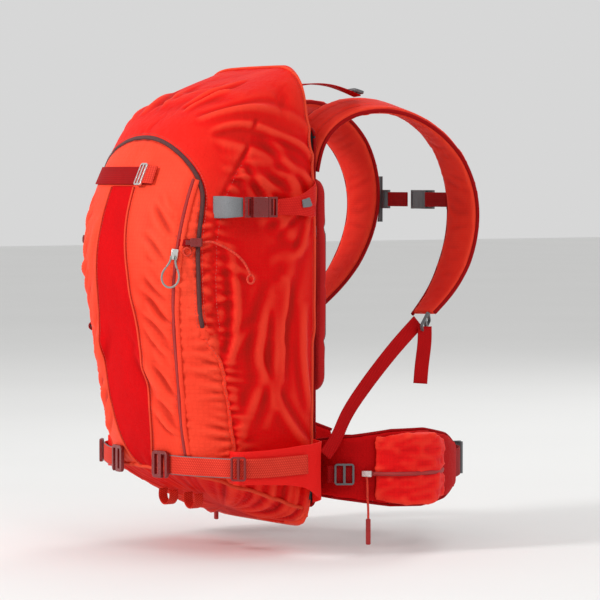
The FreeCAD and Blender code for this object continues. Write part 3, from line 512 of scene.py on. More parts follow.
def sweep(name, spots, side, out, outlines, goals, body, material):
    """Skins a run of cross-sections. An outline is points (across, outward), one per station."""
    rows, count = len(spots), len(outlines[0])
    points, flat = [], []
    for i in range(rows):
        outline = np.asarray(outlines[i], float)
        points.append(spots[i] + side[i] * outline[:, :1] + out[i] * outline[:, 1:2])
        flat += [(goals[i] * MM, across * MM) for across in outline[:, 0]]
    return new_mesh(name, np.vstack(points), grid_faces(rows, count), body, material, flat=flat)


def strap_outline(width, thick, lift=0.0):
    """Cross-section of webbing: flat, with rounded selvedges."""
    half, edge = width / 2, min(thick / 2, 0.8)
    upper = [(-half, thick * 0.5), (-half + edge * 0.35, thick * 0.85), (-half + edge, thick)]
    upper += [(x, thick) for x in np.linspace(-half + edge, half - edge, 7)[1:-1]]
    upper += [(-x, z) for x, z in upper[:3][::-1]]
    lower = [(x, thick - z if abs(x) > half - edge * 1.01 else 0) for x, z in upper[::-1]]
    return [(x, z + lift) for x, z in upper + lower[1:-1]]


def line_frames(points, across, count):
    """Stations of a strap: places, width directions and outward directions, as the frame has them."""
    spots, travel, goals = smooth_line(points, count)
    side = unit(spread(across, count))
    out = unit(np.cross(side, travel))
    side = unit(np.cross(travel, out))
    return spots, side, out, goals


def ribbon(name, points, across, widths, thicks, body, material, slot, step=3.0, wave=0.25):
    """A strap of webbing along a smooth line, with a slight wave in its height."""
    count = len(smooth_line(points, step=step)[0])
    spots, side, out, goals = line_frames(points, across, count)
    wide, thick = spread(widths, count), spread(thicks, count)
    seed = sum(ord(c) for c in name) % 97
    wobble = [noise.noise(Vector((g * 0.03, seed, 0))) * wave for g in goals]
    outlines = [strap_outline(wide[i], thick[i], wobble[i]) for i in range(count)]
    return sweep(name, spots, side, out, outlines, goals, body, material)


def tube(name, spots, radius, body, material, flatten=1.0, out=None):
    """Round or slightly flattened piping along a dense line."""
    spots = np.asarray(spots, float)
    travel = unit(np.gradient(spots, axis=0))
    if out is None:
        reference = np.array([0.0, 0.0, 1.0]) if abs(travel[0][2]) < 0.8 else np.array([1.0, 0, 0])
        out = np.repeat(reference[None], len(spots), axis=0)
    side = unit(np.cross(travel, out))
    out = unit(np.cross(side, travel))
    turns = np.linspace(0, 2 * math.pi, TUBE_SIDES, endpoint=False)
    ring = np.column_stack([np.cos(turns) * radius, np.sin(turns) * radius * flatten])
    return sweep(name, spots, side, out, [ring] * len(spots), run_along(spots), body, material)


def on_side(points, sign):
    """Points or directions of the wearer's right side, or mirrored onto the left."""
    return np.array(points, float) * (sign, 1, 1)


# ---------------------------------------------------------------- cloth
STIFFNESS = 12.0


def settle_cloth(piece, pins, grow, pressure, frames, bending, amount):
    """Lets the cloth grow between its pinned seams and returns where its points come to rest."""
    for name, weights in (("pins", pins), ("grow", grow)):
        group = piece.vertex_groups.new(name=name)
        for level in np.unique(np.round(weights, 2)):
            which = np.nonzero(np.round(weights, 2) == level)[0]
            if level > 0:
                group.add([int(i) for i in which], float(level), "REPLACE")
    modifier = piece.modifiers.new("cloth", "CLOTH")
    settings = modifier.settings
    settings.quality = 5
    settings.mass = 0.25
    settings.tension_stiffness = STIFFNESS
    settings.compression_stiffness = STIFFNESS
    settings.shear_stiffness = STIFFNESS / 2
    settings.bending_stiffness = bending
    settings.air_damping = 2.0
    settings.vertex_group_mass = "pins"
    settings.vertex_group_shrink = "grow"
    settings.shrink_min = 0.0
    settings.shrink_max = -amount
    settings.effector_weights.gravity = 0.0
    settings.use_pressure = True
    settings.uniform_pressure_force = pressure
    modifier.collision_settings.use_collision = False
    modifier.point_cache.frame_start = 1
    modifier.point_cache.frame_end = frames
    scene = bpy.context.scene
    for number in range(1, frames + 1):
        scene.frame_set(number)
    settled = piece.evaluated_get(bpy.context.evaluated_depsgraph_get())
    spots = np.empty(len(settled.data.vertices) * 3, np.float32)
    settled.data.vertices.foreach_get("co", spots)
    piece.modifiers.remove(modifier)
    piece.vertex_groups.clear()
    scene.frame_set(1)
    return spots.reshape(-1, 3).astype(float)


def mesh_points(mesh):
    spots = np.empty(len(mesh.vertices) * 3, np.float32)
    mesh.vertices.foreach_get("co", spots)
    return spots.reshape(-1, 3).astype(float)


def mesh_normals(mesh):
    spots = np.empty(len(mesh.vertices) * 3, np.float32)
    mesh.vertex_normals.foreach_get("vector", spots)
    return spots.reshape(-1, 3).astype(float)


def write_points(mesh, spots):
    mesh.vertices.foreach_set("co", np.asarray(spots, np.float32).ravel())
    mesh.update()


def neighbour_mean(mesh, values, rounds=1):
    """Average of each point's neighbours, for smoothing or to find folds."""
    edges = np.empty(len(mesh.edges) * 2, np.int32)
    mesh.edges.foreach_get("vertices", edges)
    edges = edges.reshape(-1, 2)
    count = np.zeros(len(values))
    np.add.at(count, edges[:, 0], 1)
    np.add.at(count, edges[:, 1], 1)
    count = np.maximum(count, 1)
    shape = (-1,) + (1,) * (np.ndim(values) - 1)
    for _ in range(rounds):
        total = np.zeros_like(values)
        np.add.at(total, edges[:, 0], values[edges[:, 1]])
        np.add.at(total, edges[:, 1], values[edges[:, 0]])
        values = total / count.reshape(shape)
    return values


def split_move(moved, normals, most):
    """Parts of a movement: how far along the normals, and the drift across them, at most so far."""
    lift = np.einsum("ij,ij->i", moved, normals)
    drift = moved - lift[:, None] * normals
    size = np.linalg.norm(drift, axis=1, keepdims=True)
    return lift, drift * np.minimum(1.0, most / np.maximum(size, 1e-6))


def fold_values(mesh, rounds=6, gain=1.4):
    """How far each point stands above (+) or below (-) the cloth round it, from -1 to 1 per gain mm."""
    spots, normals = mesh_points(mesh), mesh_normals(mesh)
    wide = neighbour_mean(mesh, spots, rounds)
    height = np.einsum("ij,ij->i", spots - wide, normals) / MM
    height = neighbour_mean(mesh, height, 1)
    return np.clip(height / gain, -1, 1)


# ---------------------------------------------------------------- camera, light and floor
def set_stage():
    """Camera where the pack is seen from its right rear, on the level of its middle, and a soft studio."""
    scene = bpy.context.scene
    scene.view_settings.view_transform = "Standard"
    camera = bpy.data.objects.new("camera", bpy.data.cameras.new("camera"))
    scene.collection.objects.link(camera)
    azimuth, elevation, distance = math.radians(55), math.radians(5.5), 4.0
    camera.location = (
        distance * math.sin(azimuth) * math.cos(elevation),
        -distance * math.cos(azimuth) * math.cos(elevation),
        distance * math.sin(elevation),
    )
    target = Vector((0.0, 0.0, 0.218)) + Vector((math.cos(azimuth), math.sin(azimuth), 0)) * 0.035
    camera.rotation_euler = (target - camera.location).to_track_quat("-Z", "Y").to_euler()
    camera.data.lens = 178.0
    camera.data.clip_end = 50.0
    scene.camera = camera
    low = cad_box[0].z - 0.012
    bpy.ops.mesh.primitive_plane_add(size=30.0, location=(0, 0, low))
    floor = bpy.context.object
    floor.name = "floor"
    floor.data.materials.append(MATERIALS["floor"])
    lights = (
        ("key", (-0.35, -2.7, 1.6), (0.0, -0.12, 0.25), 0.6, 48.0),
        ("side", (2.8, -0.6, 2.2), (0.0, -0.1, 0.2), 0.9, 14.0),
        ("back", (-1.2, 2.6, 2.4), (0.0, 0.0, 0.25), 1.2, 24.0),
        ("top", (0.3, 0.2, 3.2), (0.0, -0.05, 0.2), 1.2, 6.0),
    )
    for name, place, goal, size, power in lights:
        lamp = bpy.data.objects.new(name, bpy.data.lights.new(name, "AREA"))
        scene.collection.objects.link(lamp)
        lamp.location = place
        lamp.rotation_euler = (Vector(goal) - Vector(place)).to_track_quat("-Z", "Y").to_euler()
        lamp.data.size = size
        lamp.data.energy = power
    world = bpy.data.worlds.new("studio")
    world.use_nodes = True
    background = world.node_tree.nodes["Background"]
    background.inputs["Color"].default_value = (1.0, 1.0, 1.0, 1.0)
    background.inputs["Strength"].default_value = 0.68
    scene.world = world


set_stage()


# ---------------------------------------------------------------- free cords
def cord_curve(name, route, body):
    """A smooth cord whose control points are its route, in metres."""
    curve = bpy.data.curves.new(name, "CURVE")
    curve.dimensions = "3D"
    curve.bevel_depth = CORD_THICK / 2
    curve.bevel_resolution = 4
    curve.resolution_u = 12
    curve.use_fill_caps = True
    spline = curve.splines.new("NURBS")
    spline.points.add(len(route) - 1)
    for point, place in zip(spline.points, route):
        point.co = (*place, 1.0)
    spline.order_u = 3
    spline.use_endpoint_u = True
    curve.materials.append(MATERIALS["cord"])
    piece = bpy.data.objects.new(name, curve)
    bpy.context.scene.collection.objects.link(piece)
    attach(piece, body)
    return piece


def torus_points(centre, axis, radius, wire, rounds=20, sides=8, long=1.0, along=None):
    """Ring of round wire. long stretches it in the direction along."""
    centre, axis = np.asarray(centre, float), unit(axis)
    first = unit(along if along is not None else np.cross(axis, (0.3, 0.2, 1.0)))
    second = np.cross(axis, first)
    points, faces = [], []
    for i in range(rounds):
        turn = 2 * math.pi * i / rounds
        way = first * math.cos(turn) * long + second * math.sin(turn)
        spot, outward = centre + way * radius, unit(way)
        for j in range(sides):
            lean = 2 * math.pi * j / sides
            points.append(spot + (outward * math.cos(lean) + axis * math.sin(lean)) * wire)
            k, n = (i + 1) % rounds, (j + 1) % sides
            faces.append((i * sides + j, k * sides + j, k * sides + n, i * sides + n))
    return points, faces


KEEPER_ROUTE = [
    (0.1367, -0.2059, 0.3003),
    (0.1453, -0.1991, 0.3024),
    (0.1536, -0.1904, 0.2974),
    (0.1599, -0.1801, 0.2913),
    (0.1676, -0.1721, 0.2834),
    (0.1722, -0.1631, 0.2723),
    (0.1750, -0.1589, 0.2593),
]
PULL_ROUTE = [
    (0.1774, 0.0234, -0.0075),
    (0.1782, 0.0238, -0.0205),
    (0.1766, 0.0248, -0.0345),
    (0.1780, 0.0254, -0.0485),
    (0.1776, 0.0256, -0.0615),
]


def make_cords():
    """The keepers' elastic cords with their eyes, and the pull cords of the hip pockets."""
    for sign, side in SIDES:
        route = [(sign * x, y, z) for x, y, z in KEEPER_ROUTE]
        tail = cord_curve(f"keeper_cord_{side}", route, "flap")
        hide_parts(f"keeper_tail_{side}")
        eye = np.array(route[-1]) * 1000 + (0, 0.6, -5.4)
        points, faces = torus_points(eye, (sign * 0.8, -0.6, 0.0), 4.2, 1.4, long=1.3, along=(0, 0, 1))
        loop = new_mesh(f"keeper_cord_eye_{side}", points, faces, "flap", "cord")
        route = [(sign * x, y, z) for x, y, z in PULL_ROUTE]
        pull = cord_curve(f"hip_pull_{side}", route, f"hip_zip_{side}")
        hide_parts(f"hip_pull_cord_{side}")


make_cords()


# ---------------------------------------------------------------- the bag's surface
BAG_NODES = ("front_flap", "front_lower_panel", "top_panel", "bottom_panel", "back_panel", "side_panel_right",
             "side_panel_left")


def node_tree_of(names):
    """Search tree over the CAD solids of some nodes, in millimetres, and the node of each face."""
    points, faces, owners = [], [], []
    for name in names:
        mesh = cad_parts[name].data
        base = len(points)
        points += [tuple(v.co * 1000) for v in mesh.vertices]
        for polygon in mesh.polygons:
            faces.append([base + i for i in polygon.vertices])
            owners.append(name)
    return BVHTree.FromPolygons(points, faces), owners


def section_ring(back_z, tilt, depth, half, columns):
    """Evenly spaced points of one level of the bag, on a tilted plane, from the middle of its front."""
    angle = math.radians(tilt)
    length = depth / math.cos(angle)
    turns = math.pi / 2 + np.linspace(0, 2 * math.pi, 1441)
    c, s = np.cos(turns), np.sin(turns)
    power = np.where(s > 0, FRONT_POWER, REAR_POWER)
    reach = np.where(s > 0, length * (1 - REAR_SHARE), length * REAR_SHARE)
    x = half * np.sign(c) * np.abs(c) ** (2 / power)
    d = length * REAR_SHARE + reach * np.sign(s) * np.abs(s) ** (2 / power)
    dense = np.column_stack([x, BACK_Y - d * math.cos(angle), back_z + d * math.sin(angle)])
    run = run_along(dense)
    return read_at(np.linspace(0, run[-1], columns + 1)[:-1], run, dense)


def bag_grid(columns, count):
    """Rows of points on the bag, closed at both ends by shrinking rings."""
    rings = np.array([section_ring(*section, columns) for section in SECTIONS])
    gaps = [np.linalg.norm(b - a, axis=1).mean() for a, b in zip(rings, rings[1:])]
    levels = np.concatenate([[0], np.cumsum(gaps)])
    rows = cubic(levels, rings, np.linspace(0, levels[-1], count))
    caps = []
    for ring in (rows[0], rows[-1]):
        middle = ring.mean(axis=0)
        caps.append([middle + (ring - middle) * share for share in (0.94, 0.82, 0.66, 0.48, 0.3, 0.12)])
    return np.array(caps[0][::-1] + list(rows) + caps[1])


def polyline_distance(x, z, line):
    """Signed distance to a line that runs upward, positive on the side of larger x."""
    line = np.asarray(line, float)
    best = np.full(len(x), 1e9)
    for (x0, z0), (x1, z1) in zip(line, line[1:]):
        along = np.array([x1 - x0, z1 - z0])
        share = np.clip(((x - x0) * along[0] + (z - z0) * along[1]) / (along @ along), 0, 1)
        gap = np.hypot(x - x0 - share * along[0], z - z0 - share * along[1])
        best = np.minimum(best, gap)
    edge = np.interp(z, line[:, 1], line[:, 0])
    return np.where(x >= edge, best, -best)


def arch(turns):
    """Points of the flap's round top, as (x, z), at some turns from its right side."""
    return [(FLAP_HALF * math.cos(t), FLAP_ARC_Z + ARCH_RISE * math.sin(t)) for t in turns]


def arch_line():
    """Half of the flap's outline, from its fold up one side to the middle of its arch."""
    side = [(FLAP_HALF, z) for z in np.arange(FOLD_Z - 3, FLAP_ARC_Z, 6.0)]
    return side + arch(np.linspace(0, math.pi / 2, 36))


def arch_radius(x, z):
    """How far out a place is from the middle of the round top: 1 on the arch."""
    return np.hypot(x / FLAP_HALF, (z - FLAP_ARC_Z) / ARCH_RISE)


def stretched(grid, shape):
    """Values of a coarse grid, closed round its columns and capped by six rings, on a finer one."""
    columns, rows = shape
    goals = np.linspace(0, grid.shape[1], columns + 1)[:-1]
    around = np.arange(grid.shape[1] + 1)
    closed = np.concatenate([grid, grid[:, :1]], axis=1)
    wide = np.array([read_at(goals, around, row) for row in closed])
    levels = np.arange(len(wide))
    heights = np.concatenate([levels[:6], np.linspace(6, levels[-7], rows), levels[-6:]])
    low = np.minimum(heights.astype(int), len(wide) - 2)
    share = (heights - low)[:, None, None]
    return (wide[low] * (1 - share) + wide[low + 1] * share).reshape(-1, 3)


def bell(gap, reach):
    return np.exp(-((gap / reach) ** 2))


def fade(value, reach):
    """0 below zero, rising to 1 at reach."""
    return np.clip(value / reach, 0, 1)


def smoothed(values, rounds=2):
    values = np.array(values, float)
    for _ in range(rounds):
        values[1:-1] = (values[:-2] + 2 * values[1:-1] + values[2:]) / 4
    return values


def tree_of(spots):
    tree = KDTree(len(spots))
    for i, spot in enumerate(spots):
        tree.insert(Vector(spot), i)
    tree.balance()
    return tree


def distance_to(points, spots):
    """Distance from each point to the nearest of many spots."""
    tree = tree_of(spots)
    return np.array([tree.find(Vector(p))[2] for p in points])


def scattered(seed, count, area, angle, jitter, length, width, height):
    """Random straight folds in an area: their two ends, half width and height."""
    dice = np.random.default_rng(seed)
    (u_low, u_high), (v_low, v_high) = area
    folds = []
    for _ in range(count):
        centre = np.array([dice.uniform(u_low, u_high), dice.uniform(v_low, v_high)])
        turn = math.radians(angle + dice.normal() * jitter)
        way = np.array([math.cos(turn), math.sin(turn)]) * dice.uniform(*length) / 2
        folds.append((*(centre - way), *(centre + way), dice.uniform(*width), dice.uniform(*height)))
    return folds


def ridged(u, v, folds):
    """Height of cloth raised along each fold, with a trough on one side of it."""
    total = np.zeros(len(u))
    for number, (u0, v0, u1, v1, width, height) in enumerate(folds):
        du, dv = u1 - u0, v1 - v0
        length = math.hypot(du, dv)
        share = np.clip(((u - u0) * du + (v - v0) * dv) / length**2, 0, 1)
        bow = 0.07 * length * (-1 if number % 2 else 1)
        body = np.sin(math.pi * share)
        gap = ((v - v0) * du - (u - u0) * dv) / length + bow * body
        side = 1.5 if number % 3 else -1.5
        crest = bell(gap, width) - 0.55 * bell(gap - side * width, width)
        total += height * body**0.6 * crest
    return total


def gathers(run, away, span, reach, width, height, seed):
    """Short folds that leave a seam at uneven steps along it: run along the seam, away from it."""
    dice = np.random.default_rng(seed)
    total = np.zeros(len(run))
    place = span[0]
    while place < span[1]:
        slant, size = dice.uniform(-0.4, 0.4), dice.uniform(0.45, 1.0)
        wide, far = dice.uniform(*width), dice.uniform(*reach)
        gap = run - place - slant * away
        crest = (bell(gap, wide) - 0.35) * (np.abs(gap) < 2.2 * wide)
        total += height * size * crest * bell(away, far)
        place += wide * dice.uniform(2.3, 3.6)
    return total * (1 - bell(away, 3.0))


# Random folds of each side: seed, how many, area, angle and its spread, length, half width, height.
SIDE_FOLDS = (
    (51, 11, ((-180, -45), (70, 320)), 84, 15, (90, 210), (5.5, 11), (2.8, 5.4)),
    (61, 7, ((-180, -45), (60, 420)), 20, 24, (50, 100), (4.5, 8), (1.8, 3.6)),
    (71, 6, ((-170, -45), (350, 450)), 112, 14, (60, 130), (5.5, 10), (2.8, 5.2)),
)


class Bag:
    """The bag's cloth: a closed grid on the CAD shape, settled, with seams and folds worked in."""

    def __init__(self):
        self.cad, self.owners = node_tree_of(BAG_NODES)
        self.build(*SIM_GRID)
        moved = self.settle()
        bpy.data.objects.remove(self.piece)
        self.build(*GRID)
        self.fold(stretched(moved, GRID))
        faces = [tuple(p.vertices) for p in self.mesh.polygons]
        self.face_points = [np.array(face) for face in faces]
        self.tree = BVHTree.FromPolygons([tuple(p) for p in self.points], faces)

    def build(self, columns, rows):
        """Lays a grid of cloth on the CAD shape."""
        grid = bag_grid(columns, rows)
        self.shape = grid.shape[:2]
        points = grid.reshape(-1, 3)
        for i, point in enumerate(points):
            spot, _, _, gap = self.cad.find_nearest(Vector(point))
            if spot is not None and gap < 4.0:
                points[i] = spot
        self.rest = points
        faces = grid_faces(*self.shape)
        mesh = bpy.data.meshes.new("bag_cloth")
        mesh.from_pydata([tuple(p * MM) for p in points], [], faces)
        centre = points.mean(axis=0)
        middle = mesh.polygons[len(faces) // 2]
        if (Vector(points[middle.vertices[0]] - centre)).dot(middle.normal) < 0:
            mesh.flip_normals()
        self.mesh = mesh
        self.piece = bpy.data.objects.new("bag_cloth", mesh)
        bpy.context.scene.collection.objects.link(self.piece)
        self.normals = mesh_normals(mesh)
        self.seams()

    def snap(self, inside, line, reach=3.2):
        """Moves the border of some faces onto a dense line, so that the cut edge is clean."""
        marks = np.zeros((len(self.points), 2), bool)
        for number, face in enumerate(self.face_points):
            if len(face) == 4:
                marks[face, int(inside[number])] = True
        dots = tree_of(line)
        for i in np.nonzero(marks.all(axis=1))[0]:
            spot, _, gap = dots.find(Vector(self.points[i]))
            if gap < reach:
                self.points[i] = spot

    def drawn(self, line):
        """Dense points of a line given on the front view, laid on the settled cloth."""
        flat, _, _ = smooth_line(np.array(line, float), step=0.6)
        spots = [self.front_point(x, z, self.tree)[0] for x, z in flat]
        return smoothed([p for p in spots if p is not None], 40)

    def level_line(self, values, front_of):
        """Where a value turns positive on the way up each column of the cloth, from left to right."""
        rows, columns = self.shape
        grid = values.reshape(rows, columns)
        spots = self.points.reshape(rows, columns, 3)
        found = []
        for j in range(columns):
            for i in np.nonzero((grid[:-1, j] < 0) & (grid[1:, j] >= 0))[0]:
                share = grid[i, j] / (grid[i, j] - grid[i + 1, j])
                spot = spots[i, j] * (1 - share) + spots[i + 1, j] * share
                if spot[1] < front_of:
                    found.append(spot)
                    break
        return np.array(sorted(found, key=lambda p: math.atan2(p[0], -60 - p[1])))

    def front_point(self, x, z, tree=None):
        """Where a level line from the front meets the bag's CAD shape, or the cloth of a given tree."""
        spot, normal, _, _ = (tree or self.cad).ray_cast(Vector((x, -420.0, z)), Vector((0, 1, 0)))
        return np.array(spot), np.array(normal)

    def side_x(self, y, z):
        """How far out the bag's right side lies on a level line."""
        return self.cad.ray_cast(Vector((300.0, y, z)), Vector((-1, 0, 0)))[0][0]

    def seam_distance(self, line):
        """Distance of each point to a line drawn on the front view and laid on the bag, and its side."""
        x, _, z = self.rest.T
        flat, _, _ = smooth_line(np.array(line, float), step=2.5)
        spots = []
        for px, pz in flat:
            spots += [self.front_point(px, pz)[0], self.front_point(-px, pz)[0]]
        gap = distance_to(self.rest, spots)
        edge = np.interp(z, flat[:, 1], flat[:, 0])
        return gap, np.where(np.abs(x) >= edge, gap, -gap)

    def seams(self):
        """How far each point is from each seam, and the share of painted shade on the sides and the hood."""
        x, y, z = self.rest.T
        across = np.abs(x)
        self.front = y < FRONT_Y
        self.gusset, self.gusset_side = self.seam_distance(GUSSET)
        self.pocket, self.pocket_side = self.seam_distance(POCKET_ZIP)
        self.arch, _ = self.seam_distance(arch_line())
        outside = np.where(z > FLAP_ARC_Z, arch_radius(x, z) > 1, across > FLAP_HALF)
        self.arch_side = np.where(outside, self.arch, -self.arch)
        leaf = np.array(LEAF, float)[:, ::-1]
        near_leaf = self.front & (z > 2) & (z < 372)
        self.leaf_signed = np.where(near_leaf, polyline_distance(across, z, leaf), FAR)
        self.boot_signed = z - (-25 + (-110 - y) * 0.35)
        # painted shade: a share for the sides beyond the gussets, and for the hood outside the flap's arch
        # zip
        hood = HOOD_SHADE * fade(self.arch_side - 2, 3) * (z > FOLD_Z)
        self.painted_shade = fade(self.gusset_side + 1.5, 3.0) * fade(462 - z, 26) * (y < -22)
        self.painted_shade = np.maximum(self.painted_shade, hood)

    def settle(self):
        x, y, z = self.rest.T
        across = np.abs(x)
        seam = np.minimum.reduce([self.gusset, self.pocket, self.arch, np.abs(self.leaf_signed)])
        pins = np.where(seam < 2.6, 1.0, 0.0)
        pins = np.maximum(pins, np.where(y > -26, 1.0, 0.0))
        pins = np.maximum(pins, np.where((across > 132) & (np.abs(z - 2) < 34), 0.35, 0.0))
        grow = np.full(len(x), 0.42)
        gusset_zone = self.front & (across > 84) & (z > 10) & (z < 360)
        grow = np.where(gusset_zone, 0.95, grow)
        grow = np.where(self.leaf_signed < 0, 0.12, grow)
        grow = np.where(z < 5, 0.8, grow)
        grow = np.where((z > 400) & (across < 120), 0.4, grow)
        moved = np.zeros_like(self.rest)
        settled = settle_cloth(self.piece, pins, grow, pressure=2.2, frames=16, bending=0.12, amount=0.13)
        moved = (settled / MM) - self.rest
        return moved.reshape(*self.shape, 3)

    def fold(self, moved):
        """Adds the simulated slack and the seams' own folds to the finer cloth."""
        x, y, z = self.rest.T
        lift, drift = split_move(moved, self.normals, 2.5)
        lift = np.clip(lift, -3.0, 6.0)
        lift = lift + self.folds_of_front(x, z) + self.folds_of_hood(x, y, z) + self.folds_of_sides(x, y, z)
        lift = np.clip(lift, -5.0, 7.5)
        for seam, reach in ((self.arch, 8.5), (self.pocket, 3.5), (self.gusset, 2.4)):
            lift = lift * (1 - 0.97 * bell(seam, reach))
        lift = lift - 1.9 * bell(self.gusset, 2.4) - 1.2 * bell(self.pocket, 3.0)
        lift = lift - 1.0 * bell(self.arch, 4.2) + 1.2 * bell(self.arch - 8, 4.0)
        lift = lift + self.folds_of_foot(x, y, z) * (1 - np.exp(-((np.hypot(x, y + 80) / 60) ** 4)))
        lift = np.where(y > -24, 0.0, lift)
        self.points = self.rest + self.normals * lift[:, None] + drift * (y < -26)[:, None]
        write_points(self.mesh, self.points * MM)
        self.folds = fold_values(self.mesh, 10, 1.5)
        self.normals = mesh_normals(self.mesh)

    def folds_of_front(self, x, z):
        """Slanted slack beside the pocket zip and the dart, and gathers across both long seams."""
        across = np.abs(x)
        total = np.zeros(len(x))
        zips = np.array(POCKET_ZIP, float)
        dice = np.random.default_rng(5)
        for sign, _ in SIDES:
            slack = []
            for height in np.arange(36, 335, 17.0):
                foot = height + dice.uniform(-7, 7)
                edge = np.interp(foot, zips[:, 1], zips[:, 0])
                reach = dice.uniform(22, 44)
                slack.append((edge - 1, foot, edge - reach, foot + reach * dice.uniform(0.9, 1.5),
                              dice.uniform(3.0, 5.0), dice.uniform(2.0, 4.2)))
            slack += scattered(7 + sign, 7, ((50, 60), (90, 300)), 122, 12, (50, 110), (7, 12), (1.2, 2.6))
            here = (x * sign > 0) & self.front
            total = total + np.where(here, ridged(across, z, slack), 0.0)
            zone = here & (self.gusset_side < 0) & (self.pocket_side > 0) & (z < 345) & (z > 8)
            gathered = gathers(z, -self.gusset_side, (14, 335), (12, 32), (2.7, 5.0), 6.2, 11 + sign)
            total = total + np.where(zone, gathered, 0)
            gathered = gathers(z, self.pocket_side, (20, 330), (7, 16), (2.6, 4.2), 3.8, 21 + sign)
            total = total + np.where(zone, gathered, 0)
            outer = (x * sign > 0) & (self.gusset_side >= 0) & (self.rest[:, 1] < -60)
            gathered = gathers(z, self.gusset_side, (20, 420), (8, 22), (2.7, 4.8), 5.0, 31 + sign)
            total = total + np.where(outer, fade(430 - z, 30) * gathered, 0)
        under_arch = (self.arch_side < 0) & (z > 300) & (across < 118)
        gathered = gathers(across, -self.arch_side, (6, 120), (8, 24), (3, 5), 2.6, 41)
        return total + np.where(under_arch, gathered, 0)

    def folds_of_hood(self, x, y, z):
        """Long soft folds over the shoulders of the bag, fanned out from the flap's arch."""
        high = z + (y + 110) * 0.5
        folds = []
        dice = np.random.default_rng(17)
        for sign, _ in SIDES:
            for turn in (8, 20, 31, 43, 56, 70, 84):
                angle = math.radians(turn + dice.uniform(-4, 4))
                near = np.array(arch([angle])[0]) * (sign, 1)
                lean = angle + 0.5 - 0.5 * angle
                way = np.array([sign * math.cos(lean), math.sin(lean)])
                start = near + way * dice.uniform(2, 14)
                end = start + way * dice.uniform(50, 110)
                folds.append((*start, *end, dice.uniform(4.5, 9), dice.uniform(3.2, 6.0)))
        folds += scattered(19, 3, ((-70, 70), (450, 490)), 8, 14, (70, 130), (8, 13), (2.0, 3.4))
        zone = fade(self.arch_side, 8) * (y < -34) * fade(z - 318, 20)
        return zone * ridged(x, high, folds)

    def folds_of_sides(self, x, y, z):
        """Long folds of the sides: slack between the ski straps, and pulls that start at their roots."""
        total = np.zeros(len(x))
        for sign, _ in SIDES:
            folds = []
            for seed, *fold in SIDE_FOLDS:
                folds += scattered(seed + sign, *fold)
            for turn in (150, 185, 215, 250):
                way = np.array([math.cos(math.radians(turn)), math.sin(math.radians(turn))])
                start = np.array([-42.0, SKI_HIGH_Z + 8])
                folds.append((*(start + way * 6), *(start + way * 78), 5.5, 3.2))
            here = (x * sign > 0) & (self.gusset_side > 5) & (y < -30)
            zone = fade(self.gusset_side, 16) * fade(-y - 30, 10) * fade(z - 30, 16)
            total = total + np.where(here, zone * ridged(y, z, folds), 0.0)
        return total * fade(470 - z, 40)

    def folds_of_foot(self, x, y, z):
        """Deep gathers where the floor turns up into the sides."""
        turn = np.arctan2(x, -80 - y) * 120.0
        shape = fade(34 - z, 26) * fade(z + 76, 16) * (y < -30)
        strong = 0.35 + 0.65 * fade(np.abs(turn) - 70, 60)
        return shape * strong * gathers(turn, 40 + 0 * z, (-330, 330), (900, 901), (4.0, 7.0), 6.5, 81)

    def owner_of(self, polygon_centre):
        _, _, index, _ = self.cad.find_nearest(Vector(polygon_centre))
        return self.owners[index]

    def patch(self, name, keep, body, material, lift=0.0, wall=1.4, inner="lining"):
        """Piece of the bag's cloth: the faces that keep says, with a wall and a lining behind it."""
        used = np.unique(np.concatenate([self.face_points[f] for f in keep]))
        place = {int(old): new for new, old in enumerate(used)}
        faces = [[place[int(i)] for i in self.face_points[f]] for f in keep]
        points = self.points[used] + self.normals[used] * lift
        piece = new_mesh(name, points, faces, None, material)
        # fold heights, from which the materials paint shade in the hollows and a highlight on the tops
        set_values(piece, "fold", self.folds[used])
        # share of painted shade on the sides and the hood
        set_values(piece, "painted_shade", self.painted_shade[used])
        piece.data.materials.append(MATERIALS[inner])
        solid = piece.modifiers.new("wall", "SOLIDIFY")
        solid.thickness = wall * MM
        solid.offset = -1.0
        solid.material_offset = 1
        solid.material_offset_rim = 0
        if body:
            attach(piece, body)
        return piece


PANEL_EDGE = [(0, 126), (16, 130.5), (60, 134), (120, 134.5), (150, 134), (168, 130), (183, FLAP_HALF)]


def inside_panel(x, z):
    """Whether a place on the front belongs to the panel inside the arch zip and the long seams."""
    if z > FLAP_ARC_Z:
        return arch_radius(x, z) < 1
    return z > 4 and abs(x) < np.interp(z, [p[0] for p in PANEL_EDGE], [p[1] for p in PANEL_EDGE])


